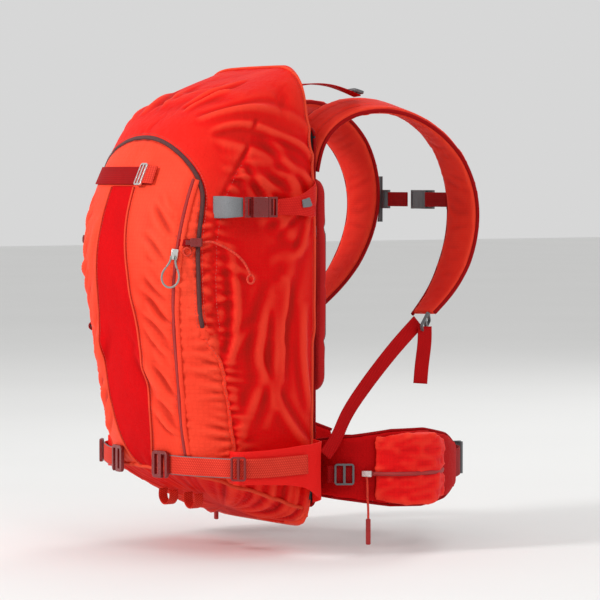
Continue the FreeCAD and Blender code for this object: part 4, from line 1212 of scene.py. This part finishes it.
def make_bag():
    """Settles the bag's cloth and cuts it into its sewn pieces along the seams."""
    bag = Bag()
    centres = np.array([bag.rest[f].mean(axis=0) for f in bag.face_points])
    groups = {}
    for number, centre in enumerate(centres):
        x, y, z = centre
        owner = bag.owner_of(centre)
        at_side = "side_panel_right" if x > 0 else "side_panel_left"
        if y < FRONT_Y and inside_panel(x, z):
            owner = "front_flap"
        elif owner == "front_flap":
            owner = "top_panel" if z > 400 else at_side
        elif y > -23 and owner.startswith(("back", "side")):
            owner = "back_panel" if abs(x) < BACK_EDGE else at_side
        groups.setdefault(owner, []).append(number)
    flap = np.isin(np.arange(len(centres)), groups["front_flap"])
    back = np.isin(np.arange(len(centres)), groups["back_panel"])
    leaf = np.array([bag.leaf_signed[f].mean() for f in bag.face_points]) < 0
    boot = np.array([bag.boot_signed[f].mean() for f in bag.face_points]) < 0
    boot &= centres[:, 1] < -45
    for sign, _ in SIDES:
        bag.snap(flap, bag.drawn([(sign * x, z) for x, z in arch_line()[1:]]), reach=5.5)
        bag.snap(flap, bag.drawn([(sign * x, z) for z, x in PANEL_EDGE]))
        bag.snap(leaf, bag.drawn([(sign * half, z) for z, half in LEAF]))
        starts = [Vector((sign * BACK_EDGE, 60, z)) for z in range(-60, 450, 2)]
        hits = [bag.tree.ray_cast(start, Vector((0, -1, 0)))[0] for start in starts]
        bag.snap(back, smoothed([p for p in hits if p is not None], 10), reach=4.0)
    foot_line, _, _ = smooth_line(smoothed(bag.level_line(bag.boot_signed, -42), 6), step=0.8)
    bag.snap(boot, foot_line)
    apart = ("front_flap", "front_lower_panel", "back_panel")
    shell_nodes = [name for name in BAG_NODES if name not in apart]
    sewn = [number for name in shell_nodes for number in groups[name]]
    shell = bag.patch("bag_shell_cloth", sewn, "pack", "shell")
    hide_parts(*shell_nodes)
    rear = bag.patch("back_panel_cloth", groups["back_panel"], "pack", "back_cloth")
    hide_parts("back_panel")
    panel = bag.patch("front_flap_cloth", groups["front_flap"], None, "shell")
    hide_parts("front_flap", "front_lower_panel")
    scuff = bag.patch("scuff_panel_cloth", np.nonzero(leaf)[0], None, "leaf", 1.0, 0.9,
                      "leaf")
    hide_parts("scuff_panel_upper", "scuff_panel_lower")
    foot = bag.patch("boot_cloth", np.nonzero(boot)[0], "pack", "boot", 1.3, 1.2, "boot")
    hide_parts("boot_flap")
    bpy.data.objects.remove(bag.piece)
    for piece in (panel, scuff):
        over_fold(piece)
    return bag


def over_fold(piece):
    """Bakes a piece's placement into its points."""
    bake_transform(piece)


bag = make_bag()


# ---------------------------------------------------------------- zips, piping and stitches on the bag
def on_front(line, step=3.0, rounds=2):
    """A line given as (x, z), laid on the settled front of the bag: places and outward directions."""
    flat, _, _ = smooth_line(np.array(line, float), step=step)
    found = [bag.front_point(x, z, bag.tree) for x, z in flat]
    spots = smoothed([f[0] for f in found], rounds)
    out = unit(smoothed([f[1] for f in found], 4 + rounds))
    return spots + out * 0.05 * rounds, out


def rested(spots, out):
    """Lifts a line so that a strip 8 mm wide lies on top of the folds under it."""
    side = unit(np.cross(unit(np.gradient(spots, axis=0)), out))
    high = np.full(len(spots), -4.0)
    for across in (-4, -2, 0, 2, 4):
        for i, start in enumerate(spots + side * across + out * 7):
            hit = bag.tree.ray_cast(Vector(start), Vector(-out[i]), 14.0)[3]
            if hit is not None:
                high[i] = max(high[i], 7 - hit)
    wide = np.array([high[max(0, i - 2):i + 3].max() for i in range(len(high))])
    return spots + out * smoothed(wide[:, None], 5)


def on_cloth(points):
    """A rough line near the bag, pulled onto its settled cloth."""
    rough, _, _ = smooth_line(points, step=3.0)
    found = [bag.tree.find_nearest(Vector(p)) for p in rough]
    spots = smoothed([f[0] for f in found], 3)
    out = unit(smoothed([f[1] for f in found], 4))
    centre = np.array((0.0, -110.0, 230.0))
    flip = np.einsum("ij,ij->i", out, spots - centre) < 0
    out[flip] *= -1
    return spots, out


def strip(name, spots, out, outline, body, material):
    """A strip of one cross-section that follows a line on the bag."""
    travel = unit(np.gradient(spots, axis=0))
    side = unit(np.cross(travel, out))
    out = unit(np.cross(side, travel))
    outlines = [np.array(outline, float)] * len(spots)
    return sweep(name, spots, side, out, outlines, run_along(spots), body, material)


STITCH_LENGTH = 2.6
STITCH_GAP = 1.7
# Four sections of a stitch: share of its length, height and half width.
STITCH = ((0.0, -0.25, 0.2), (0.25, 0.25, 0.35), (0.75, 0.25, 0.35), (1.0, -0.25, 0.2))


def stitches(name, spots, out, shift, body, lift=0.25):
    """A row of thread stitches beside a line, shift millimetres to its side."""
    travel = unit(np.gradient(spots, axis=0))
    side = unit(np.cross(travel, out))
    line = spots + side * shift + out * lift
    run = run_along(line)
    points, faces = [], []
    for start in np.arange(1.0, run[-1] - STITCH_LENGTH, STITCH_LENGTH + STITCH_GAP):
        base = len(points)
        for share, height, half in STITCH:
            goal = start + share * STITCH_LENGTH
            spot, across, outward = (read_at(goal, run, v)[0] for v in (line, side, out))
            for way, drop in ((-1, -0.15), (0, 0.12), (1, -0.15)):
                points.append(spot + across * half * way + outward * (height + drop))
        for i in range(3):
            for j in range(2):
                a = base + i * 3 + j
                faces.append((a, a + 1, a + 4, a + 3))
    return new_mesh(name, points, faces, body, "thread")


ROUND_TAPE = [(-3.3, -0.4), (-3.3, 0.25), (-1.9, 0.45), (-1.3, 1.15), (-0.3, 1.25), (0.3, 1.25), (1.3, 1.15),
              (1.9, 0.45), (3.3, 0.25), (3.3, -0.4)]
OUTER_TAPE = [(-0.1, -0.9), (-0.1, 1.2), (1.2, 1.15), (1.7, 0.45), (2.8, 0.2), (2.8, -0.9)]


def flipped(outline):
    return [(-x, z) for x, z in outline][::-1]


def make_flap_zip():
    """Coil zip round the flap's arch, tapes on both sides, with a fabric garage at each foot."""
    right = [(FLAP_HALF, z) for z in np.arange(FOLD_Z + 8, FLAP_ARC_Z, 20.0)]
    line = right + arch(np.linspace(0, math.pi, 25)) + [(-x, z) for x, z in right[::-1]]
    spots, out = on_front(line, rounds=50)
    spots = rested(spots, out) - out * 0.1
    outside = strip("flap_zip_outer_tape", spots, out, OUTER_TAPE, "pack", "zip_dark")
    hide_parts("root_zips")
    strip("flap_zip_inner_tape", spots, out, flipped(OUTER_TAPE), "flap", "zip_dark")
    stitches("flap_zip_outer_stitches", spots, out, 5.6, "pack")
    stitches("flap_zip_inner_stitches", spots, out, -5.6, "flap")
    for sign, side in SIDES:
        garage = [(sign * FLAP_HALF, FOLD_Z + z) for z in (12, 3, -6)]
        places, ways = on_front(garage, 2.0)
        outline = [(-6, -0.5), (-6, 0.7), (-3, 1.7), (0, 2.1), (3, 1.7), (6, 0.7), (6, -0.5)]
        strip(f"zip_garage_{side}", places, ways, outline, "pack", "shell")


def make_pocket_zip():
    """The front pocket's zip under its welt, and the dart that matches it on the left."""
    narrow = [(x * 0.72, z * 0.8) for x, z in ROUND_TAPE]
    welt = [(2.4, -0.3), (2.6, 0.9), (4.0, 1.9), (6.0, 1.8), (8.4, 0.9), (9.0, -0.3)]
    seam = [(-1.6, -0.3), (-1.3, 0.6), (0, 1.0), (1.3, 0.6), (1.6, -0.3)]
    spots, out = on_front(POCKET_ZIP, rounds=12)
    tape = strip("pocket_zip_tape", spots, out, narrow, None, "zip_red")
    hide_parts("pocket_zip_upper")
    pieces = [tape, strip("pocket_zip_welt", spots, out, welt, None, "shell"),
              stitches("pocket_zip_stitches", spots, out, -4.4, None)]
    spots, out = on_front([(-x, z) for x, z in POCKET_ZIP], rounds=8)
    pieces += [strip("dart_seam", spots, out, seam, None, "piping"),
               stitches("dart_seam_stitches", spots, out, -3.4, None)]
    for piece in pieces:
        over_fold(piece)


def make_leaf_edges():
    """Piping down both edges of the scuff panel."""
    for sign, side in SIDES:
        spots, out = on_front([(sign * half, z) for z, half in LEAF], rounds=4)
        over_fold(tube(f"scuff_piping_{side}", spots + out * 1.6, 1.5, None, "piping", out=out, flatten=0.75))
        over_fold(stitches(f"scuff_stitches_{side}", spots, out, 3.6, None, lift=1.2))


BACK_PIPING = [(141, -26, -20), (145, -27, 20), (146, -27, 60), (147, -27, 190), (147.5, -27, 300),
               (146, -28, 400), (137, -29, 455), (122, -31, 494), (92, -34, 519)]
TOP_PIPING = [(-92, -34, 519), (-50, -30, 529), (0, -29, 532), (50, -30, 529), (92, -34, 519)]


def make_bag_seams():
    """Piped seams: gussets, the back's edge, the foot and the hood."""
    for sign, side in SIDES:
        gusset = [(sign * x, z) for x, z in GUSSET if 175 < z <= 400]
        spots, out = on_front(gusset, rounds=8)
        stitches(f"gusset_stitches_{side}", spots, out, sign * 3.0, "pack")
        joint = [(sign * x, z) for z, x in PANEL_EDGE]
        spots, out = on_front(joint, rounds=5)
        felled = [(-2.8, -0.6), (-2.5, 0.3), (-1.2, 0.8), (1.2, 0.8), (2.5, 0.3), (2.8, -0.6)]
        strip(f"panel_seam_{side}", spots, out, felled, "pack", "shell")
        stitches(f"panel_seam_stitches_{side}", spots, out, 0.9, "pack", lift=0.95)
        spots, out = on_cloth(on_side(BACK_PIPING, sign))
        tube(f"back_edge_piping_{side}", spots + out * 0.9, 1.8, "pack", "piping", out=out)
        stitches(f"back_edge_stitches_{side}", spots, out, -sign * 4.2, "pack")
    spots, out = on_cloth(TOP_PIPING)
    tube("back_edge_piping_top", spots + out * 0.9, 1.8, "pack", "piping", out=out)
    spots = smoothed(bag.level_line(bag.boot_signed, -46), 8)
    out = unit(smoothed([bag.tree.find_nearest(Vector(p))[1] for p in spots], 6))
    tube("boot_piping", spots + out * 1.6, 2.3, "pack", "piping", out=out, flatten=1.15)
    stitches("boot_stitches", spots, out, 4.0, "pack", lift=0.4)


make_flap_zip()
make_pocket_zip()
make_leaf_edges()
make_bag_seams()


# ---------------------------------------------------------------- padding
STRAP_PATH = [(64, 1.5, 392), (68, 14, 432), (77, 52, 464), (88, 104, 472), (97, 158, 456), (105, 204, 416),
              (112, 227, 352), (119, 216, 288), (126, 182, 234), (130, 150, 204)]
STRAP_ACROSS = [(1, 0, 0.0), (0.97, 0, -0.2), (0.95, 0, -0.3), (0.98, -0.05, -0.15), (1, -0.05, 0)]
STRAP_WIDE = [84, 74, 70, 68, 66, 62, 46]
STRAP_THICK = [11, 12, 13, 12, 9]
WING_PATH = [(112, -4.5, 2), (142, 9, 3), (169, 50, 3), (177, 104, 2), (163, 156, 0), (136, 194, -2)]
WING_WIDE = [72, 84, 98, 100, 84, 52]
WING_THICK = [10, 12, 12, 12, 9]
DOWN = [(0, 0, -1)] * 2


def remeshed(name, source_mesh, voxel):
    """Even closed mesh of a CAD solid."""
    piece = bpy.data.objects.new(name, source_mesh.copy())
    bpy.context.scene.collection.objects.link(piece)
    modifier = piece.modifiers.new("even", "REMESH")
    modifier.mode = "VOXEL"
    modifier.voxel_size = voxel * MM
    result = bpy.data.meshes.new_from_object(piece.evaluated_get(bpy.context.evaluated_depsgraph_get()))
    piece.modifiers.clear()
    piece.data = result
    return piece


def puffed(name, node, body, material, voxel=4.0, seams=(), grooves=(), shrink=0.8, pressure=3.0,
           amount=0.04, cap=(-2.0, 3.5), bending=0.3, soften=2, creased=0.0, groove=(1.8, 3.0)):
    """Padded piece: the node's solid, softened, blown up under its cover and drawn in along its seams."""
    piece = remeshed(name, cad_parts[node].data, voxel)
    mesh = piece.data
    points = mesh_points(mesh)
    for _ in range(soften):
        points = 0.4 * points + 0.6 * neighbour_mean(mesh, points)
    write_points(mesh, points)
    normals = mesh_normals(mesh)
    points = points - normals * shrink * MM
    write_points(mesh, points)
    rest = points / MM
    gap = distance_to(rest, np.vstack(seams)) if len(seams) else np.full(len(rest), FAR)
    inner = distance_to(rest, np.vstack(grooves)) if len(grooves) else np.full(len(rest), FAR)
    pins = np.where(np.minimum(gap, inner) < voxel * 0.9, 1.0, 0.04)
    settled = settle_cloth(piece, pins, np.full(len(rest), 1.0), pressure, 12, bending, amount)
    lift, drift = split_move(settled / MM - rest, normals, 1.5)
    rest = rest + normals * np.clip(lift, *cap)[:, None] + drift
    depth, reach = groove
    dip = depth * bell(inner, reach) + 0.6 * depth * bell(gap, reach)
    rest = rest - normals * dip[:, None]
    if creased:
        values = [noise.noise(Vector((p[0] / 34, p[1] / 34, p[2] / 11))) for p in rest]
        ridge = np.clip(1 - 2.6 * np.abs(np.array(values)), 0, 1) ** 1.6
        rest = rest + normals * (creased * (ridge - 0.3))[:, None]
    write_points(mesh, rest * MM)
    mesh.shade_smooth()
    mesh.materials.clear()
    mesh.materials.append(MATERIALS[material])
    # fold heights, from which the nylon materials paint shade in the hollows and a highlight on the tops
    set_values(piece, "fold", fold_values(mesh, 4, 1.2))
    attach(piece, body)
    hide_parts(node)
    return piece


def strap_lines(path, across, widths, thicks):
    """Edges and middle lines of a padded strap, on its middle layer and on its outer face."""
    count = len(smooth_line(path, step=3.0)[0])
    spots, side, out, _ = line_frames(path, across, count)
    half = (spread(widths, count) / 2)[:, None]
    thick = spread(thicks, count)[:, None]
    middle = spots + out * thick / 2
    return {
        "low": middle - side * half,
        "high": middle + side * half,
        "face_low": spots + out * thick - side * half * 0.42,
        "face_high": spots + out * thick + side * half * 0.42,
        "spots": spots,
        "out": out,
    }


def trim(line, start, end):
    return line[int(len(line) * start) : int(len(line) * end)]


def make_shoulder_straps():
    """Both padded straps, bound along their edges and stitched along their channels."""
    lines = strap_lines(STRAP_PATH, STRAP_ACROSS, STRAP_WIDE, STRAP_THICK)
    edges = [on_side(lines[label], sign) for sign, _ in SIDES for label in ("low", "high")]
    grooves = [on_side(trim(lines[label], 0.06, 0.94), sign)
               for sign, _ in SIDES for label in ("face_low", "face_high")]
    puffed("shoulder_straps_padded", "shoulder_straps", "pack", "strap_face", 4.0, edges,
           grooves, pressure=3.5, cap=(-1.5, 3.0), groove=(1.6, 2.6))
    for sign, side in SIDES:
        out = on_side(lines["out"], sign)
        for label in ("low", "high"):
            tube(f"strap_binding_{label}_{side}", on_side(lines[label], sign), 2.1, "pack", "dark_piping",
                 out=out, flatten=1.25)
        out = trim(out, 0.06, 0.94)
        for label in ("face_low", "face_high"):
            line = on_side(trim(lines[label], 0.06, 0.94), sign) - out * 1.2
            stitches(f"strap_stitches_{label}_{side}", line, out, 0.0, "pack")


def make_hip_wings():
    """Padded wings of the hip belt, each with its bindings, its pocket and the pocket's curved zip."""
    lines = strap_lines(WING_PATH, DOWN, WING_WIDE, WING_THICK)
    turns = np.radians(np.linspace(-66, 52, 60))
    ways = np.column_stack([np.cos(turns), np.sin(turns), np.zeros(60)])
    narrow = [(x * 0.8, z * 0.7) for x, z in ROUND_TAPE]
    for sign, side in SIDES:
        body = f"hip_{side}"
        edges = [on_side(lines[label], sign) for label in ("low", "high")]
        spine = on_side(trim(lines["spots"], 0.1, 0.9), sign)
        inner = [spine + (0, 0, 22), spine - (0, 0, 22)]
        puffed(f"hip_wing_{side}_padded", f"hip_wing_{side}", body, "wing", 3.6, edges,
               inner, pressure=3.0, cap=(-1.5, 2.2), groove=(1.6, 3.0))
        out = on_side(lines["out"], sign)
        for label, edge in zip(("low", "high"), edges):
            tube(f"wing_binding_{label}_{side}", edge, 2.0, body, "dark_piping",
                 out=out, flatten=1.2)
        track = on_side(np.array((143.0, 88.0, -3.0)) + 70.6 * ways, sign)
        puffed(f"hip_pocket_{side}_padded", f"hip_pocket_{side}", body, "pocket", 3.2,
               [track], (), pressure=3.0, amount=0.16, cap=(-2.5, 4.0), bending=0.08, creased=2.2,
               soften=3)
        outward = on_side(ways, sign)
        strip(f"hip_pocket_zip_{side}", track - outward * 0.4, outward, narrow, body, "zip_red")


COVER_MIDDLE_Z = 199.0


def make_back():
    """Back padding: two long pads and the lumbar pad in spacer mesh over a covered back sheet."""
    puffed("back_pads_padded", "back_pads", "pack", "spacer", 4.5, (), [
        np.column_stack([np.full(40, x), np.full(40, -1.0), np.linspace(110, 374, 40)]) for x in (-74, 74)
    ] + [
        np.column_stack([sign * np.linspace(24, 124, 30), np.full(30, -1.0), np.full(30, z)])
        for z in (168, 242, 316) for sign in (-1, 1)
    ], pressure=3.5, cap=(-1.5, 2.2), groove=(3.4, 4.5), shrink=1.0)
    puffed("lumbar_pad_padded", "lumbar_pad", "pack", "spacer", 4.0, (), [
        np.column_stack([np.full(30, x), np.zeros(30), np.linspace(-34, 54, 30)]) for x in (-40, 40)
    ], pressure=2.0, cap=(-1.0, 0.8), groove=(2.6, 4.0), shrink=0.9)
    outline = []
    for corner_x, corner_z, start in ((108, 436, 0), (-108, 436, 90), (-108, -38, 180), (108, -38, 270)):
        for turn in np.radians(np.linspace(start, start + 90, 7)):
            outline.append((corner_x + 10 * math.cos(turn), corner_z + 10 * math.sin(turn)))
    rings = []
    for grow, y in ((0.0, -20.0), (1.6, -18.6), (0.6, -16.9), (-3.0, -16.4), (-14.0, -16.9), (-40.0, -16.9)):
        rings.append([(x + math.copysign(1, x) * grow, y, z + math.copysign(1, z - COVER_MIDDLE_Z) * grow)
                      for x, z in outline])
    points = [p for ring in rings for p in ring]
    faces = grid_faces(len(rings), len(outline))
    new_mesh("back_cover", points, faces, "pack", "back_cloth")
    edge = np.array([(x, -18.4, z) for x, z in outline + outline[:1]])
    run = run_along(edge)
    round_trip = read_at(np.arange(0, run[-1], 4.0), run, edge)
    tube("back_cover_binding", round_trip, 2.2, "pack", "dark_piping")


make_shoulder_straps()
make_hip_wings()
make_back()


# ---------------------------------------------------------------- webbing and straps
def both_ribbons(name, points, across, widths, thicks, material, **more):
    """The same strap on both sides of the pack."""
    pieces = []
    for sign, side in SIDES:
        way, wide = on_side(points, sign), on_side(across, sign) * sign
        pieces.append(ribbon(f"{name}_{side}", way, wide, widths, thicks, "pack", material, "webbing_red",
                             **more))
    return pieces


def level_point(x, z, lift):
    """A point off the front of the bag, moved out level, and the level outward direction there."""
    spot, normal = bag.front_point(x, z)
    level = unit((normal[0], normal[1], 0))
    if level[1] > 0:
        level = -level
    return spot + level * lift, level


def make_ski_straps():
    """Upper ski straps with their tabs, and the bands and straps low on the sides, held off the bag."""
    away = 148 + SKI_ROOM
    rear, front, high = bag.side_x(-38, SKI_HIGH_Z), bag.side_x(-186, SKI_HIGH_Z), SKI_HIGH_Z
    both_ribbons(
        "ski_tab",
        [(front - 0.6, -188, high), (front + 13, -187, high), (away - 9, -182, high),
         (away - 1.6, -168, high)],
        [(0, 0, 1)] * 2, [28, 28, 24], [2.2, 2.2], "tab")
    wings = both_ribbons(
        "ski_wing",
        [(rear + 1.0, -36, high + 12), (rear + 13, -42, high + 9), (away - 6, -62, high + 4),
         (away - 2.4, -84, high + 1), (away - 2.4, -112, high)],
        DOWN, [46, 38, 24, 20], [WEB, WEB], "ski_wing", wave=0.5)
    both_ribbons(
        "ski_wing_patch",
        [(away - 12, -53, high + 8), (away - 5, -62, high + 6), (away - 0.6, -76, high + 4)],
        [(0, 0.25, -1)] * 2, [11, 12, 10], [0.9, 0.9], "tab")
    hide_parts("ski_upper_straps")
    out, z = 146 + SKI_ROOM, SKI_LOW_Z
    corner, level = level_point(128, z, 5.6)
    bands = both_ribbons(
        "ski_band",
        [(bag.side_x(-32, 0) + 1.0, -31, z - 12), (157, -36, z - 9), (out, -58, z - 3), (out + 3, -100, z),
         (out - 4, -142, z), tuple(corner + level * 14 + (9, 3, 0)), tuple(corner - level * 3)],
        DOWN, [84, 74, 56, 48, 44, 42, 40], [2.2, 2.2], "band", wave=0.7)
    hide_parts("ski_bands")
    path = [(out + 7.2, -72, z + 2), (out + 6.8, -104, z + 1), (out + 0.4, -144, z), (out - 13, -168, z)]
    path += [tuple(level_point(x, z, lift)[0]) for x, lift in ((112, 15), (84, 10), (52, 7))]
    straps = both_ribbons("ski_lower_strap", path, DOWN, [WEB_WIDE] * 2, [WEB] * 2, "webbing_bright",
                          wave=0.2)
    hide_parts("ski_lower_straps")


def make_flap_straps():
    """The strap over the flap's top with its free loop end, and the roots of the keeper cords."""
    line = [(x, STRAP_Z) for x in (-98, -60, -20, 20, 58)]
    spots, out = on_front(line)
    body = strap_outline(WEB_WIDE, WEB, 1.4)
    piece = strip("front_strap_webbing", spots, out, body, "flap", "webbing")
    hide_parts("front_strap")
    upper = [(28, STRAP_Z), (40, STRAP_Z), (52, STRAP_Z), (62, STRAP_Z)]
    spots, out = on_front(upper, 2.0)
    rise = 1.9 + 3.4 * np.sin(np.linspace(0.15, math.pi - 0.25, len(spots)))
    strip("front_strap_loop", spots + out * rise[:, None], out, strap_outline(WEB_WIDE - 0.5, WEB), "flap",
          "webbing_bright")
    for sign, side in SIDES:
        spots, out = on_front([(sign * x, 300) for x in (111, 122, 125)], 2.0)
        strip(f"keeper_anchor_0_{side}", spots, out, strap_outline(9, 1.3, 0.3), "flap", "webbing")


def make_zip_tab():
    """Folded webbing tab that sticks out beside the left foot of the arch zip."""
    spot, way = on_front([(-FLAP_HALF, FOLD_Z + 1), (-FLAP_HALF, FOLD_Z + 7)], 2.0)
    root, out = spot[1], way[1]
    path = [root - out * 1.5 + (0, 0, 5), root + out * 9 + (0, 0, 5), root + out * 12 + (0, 0, 0.5),
            root + out * 9 + (0, 0, -4), root - out * 1.5 + (0, 0, -4)]
    across = unit(np.cross(out, (0, 0, 1)))
    ribbon("zip_end_tab", path, [across] * 2, [15, 15], [1.2, 1.2], "pack", "webbing", "webbing_red",
           step=1.5, wave=0)


def make_tool_loops():
    """Two webbing loops under the foot."""
    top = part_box("tool_loops")[1][2] / MM
    for x in (30, -30):
        path = [(x - 11, -150, top), (x - 12, -150, top - 10), (x, -150, top - 19), (x + 12, -150, top - 10),
                (x + 11, -150, top)]
        ribbon(f"tool_loop_{'right' if x > 0 else 'left'}", path, [(0, 1, 0)] * 2, [14, 14],
                             [1.4, 1.4], "pack", "webbing_bright", "webbing_red")
    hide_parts("tool_loops")


LIFTER = [(58, -19, 500), (67, 8, 505), (75, 40, 503), (82, 78, 490)]
LOWER_WEB = [(131, 144, 190), (137, 104, 160), (145, 45, 108), (154, 3, 64), (158.5, -13, 42), (156, -28, 22)]
LOWER_WEB_ACROSS = [(0.2, 0.6, -0.7), (0.1, 0.6, -0.7), (0, 0.6, -0.7), (0, 0.7, -0.6)]
LOWER_TAIL = [(141, 147, 184), (142, 146, 164), (142, 142, 136), (142, 139, 108)]
HANDLE = [(0, 15, 514), (24, 13, 508), (38, 8, 492), (40, 5, 478)]
HANDLE_ANCHOR = [(40, -19, 474), (40, -10, 475), (40, 2, 477), (40, 5, 482)]
BELT = [(144, 192.6, -2), (126, 215, -2), (98, 238, -2), (69, 248, -2)]
STABILIZER = [(144, -17, -4), (154, 0, -4), (164, 14, -4)]
STERNUM_Z = 352.0


def make_harness_webbing():
    """Webbing of the shoulder straps, the haul handle, the sternum strap and the hip belt."""
    narrow, thin = [WEB_NARROW] * 2, [WEB] * 2
    lifters = both_ribbons("load_lifter", LIFTER, [(1, 0, 0)] * 2, narrow, thin, "harness_webbing")
    both_ribbons("lower_webbing", LOWER_WEB, LOWER_WEB_ACROSS, narrow, thin, "harness_webbing")
    both_ribbons("lower_tail", LOWER_TAIL, [(0.3, 0.95, 0)] * 2, narrow, thin, "harness_webbing")
    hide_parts("harness_webbing")
    path = [(-x, y, z) for x, y, z in HANDLE[:0:-1]] + HANDLE
    grip = ribbon("haul_handle_webbing", path, [(0, 1, 0)] * 2, [12, 15, 18, 15, 12], [3.0, 3.4, 3.0], "haul",
                  "harness_webbing", "webbing_red")
    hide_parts("haul_handle")
    for sign, side in SIDES[::-1]:
        ribbon(f"haul_anchor_{side}", on_side(HANDLE_ANCHOR, sign), [(1, 0, 0)] * 2, [16, 16], [2.0, 2.0],
               "pack", "harness_webbing", "webbing_red")
    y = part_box("sternum_webbing")[0][1] / MM
    web = []
    for x0, x1, side, body in ((18, 66.4, "right", None), (-66.4, -22.5, "left", "sternum")):
        path = [(x0, y, STERNUM_Z), ((x0 + x1) / 2, y + 0.3, STERNUM_Z), (x1, y, STERNUM_Z)]
        web.append(ribbon(f"sternum_web_{side}", path, [(0, 0, 1)] * 2, narrow, thin, body, "webbing",
                          "webbing_red", wave=0.1))
    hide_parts("sternum_webbing")
    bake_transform(web[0])
    for sign, side in SIDES:
        down, body = np.array(DOWN) * sign, f"hip_{side}"
        piece = ribbon(f"hip_belt_{side}", on_side(BELT, sign), down, [BELT_WIDE] * 2, thin, body, "webbing",
                       "webbing_red")
        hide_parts(f"hip_webbing_{side}")
        ribbon(f"stabilizer_{side}", on_side(STABILIZER, sign), down, [22, 22], thin, body, "webbing",
               "webbing_red")


make_ski_straps()
make_flap_straps()
make_zip_tab()
make_tool_loops()
make_harness_webbing()


# ---------------------------------------------------------------- hardware that the frame already holds
HARDWARE = {
    "buckle": ("ski_buckle_sockets", "ski_buckle_tongue_right", "ski_buckle_tongue_left", "cord_locks",
               "cord_lock_button_right", "cord_lock_button_left", "ski_hooks"),
    "adjuster": ("strap_adjusters",),
    "grey_buckle": ("sternum_rails", "sternum_clips", "sternum_socket", "sternum_tongue",
                    "hip_buckle_tongue", "hip_buckle_socket", "stabilizer_buckle_right",
                    "stabilizer_buckle_left"),
    "pull_plastic": ("pocket_pull",),
    "metal": ("front_strap_buckle", "frame_stay", "pocket_zip_slider", "front_zip_slider",
              "hip_zip_slider_right", "hip_zip_slider_left"),
    "sleeve": ("hip_pull_sleeve_right", "hip_pull_sleeve_left"),
    "sheet_plastic": ("frame_sheet",),
}


def dress_hardware():
    """Gives each kept CAD node its material and small rounded edges that catch the light."""
    for material, nodes in HARDWARE.items():
        for node in nodes:
            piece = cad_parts[node]
            for slot in piece.material_slots:
                slot.material = MATERIALS[material]
            weld = piece.modifiers.new("weld", "WELD")
            weld.merge_threshold = 0.00001
            if material != "pull_plastic" and not node.startswith(("frame_", "hip_pull_sleeve")):
                bevel = piece.modifiers.new("edges", "BEVEL")
                bevel.width = 0.0004
                bevel.segments = 2
                bevel.limit_method = "ANGLE"
                bevel.angle_limit = math.radians(40)
                bevel.use_clamp_overlap = True
                bevel.harden_normals = True


def make_keeper_loops():
    """Small cord loops beside the shaft keepers."""
    low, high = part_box("keeper_loops")
    centre = np.array(((high[0] / MM) - 6.2, (low[1] + high[1]) / 2 / MM, (low[2] + high[2]) / 2 / MM))
    normal = (0.7797, -0.6248, 0.041)
    for sign, side in SIDES:
        points, faces = torus_points(on_side(centre, sign), on_side(normal, sign), 4.9, 1.35, long=1.05,
                                     along=(0, 0, 1))
        if sign < 0:
            faces = [f[::-1] for f in faces]
        new_mesh(f"keeper_loop_{side}", points, faces, "flap", "cord")
    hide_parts("keeper_loops")


dress_hardware()
make_keeper_loops()
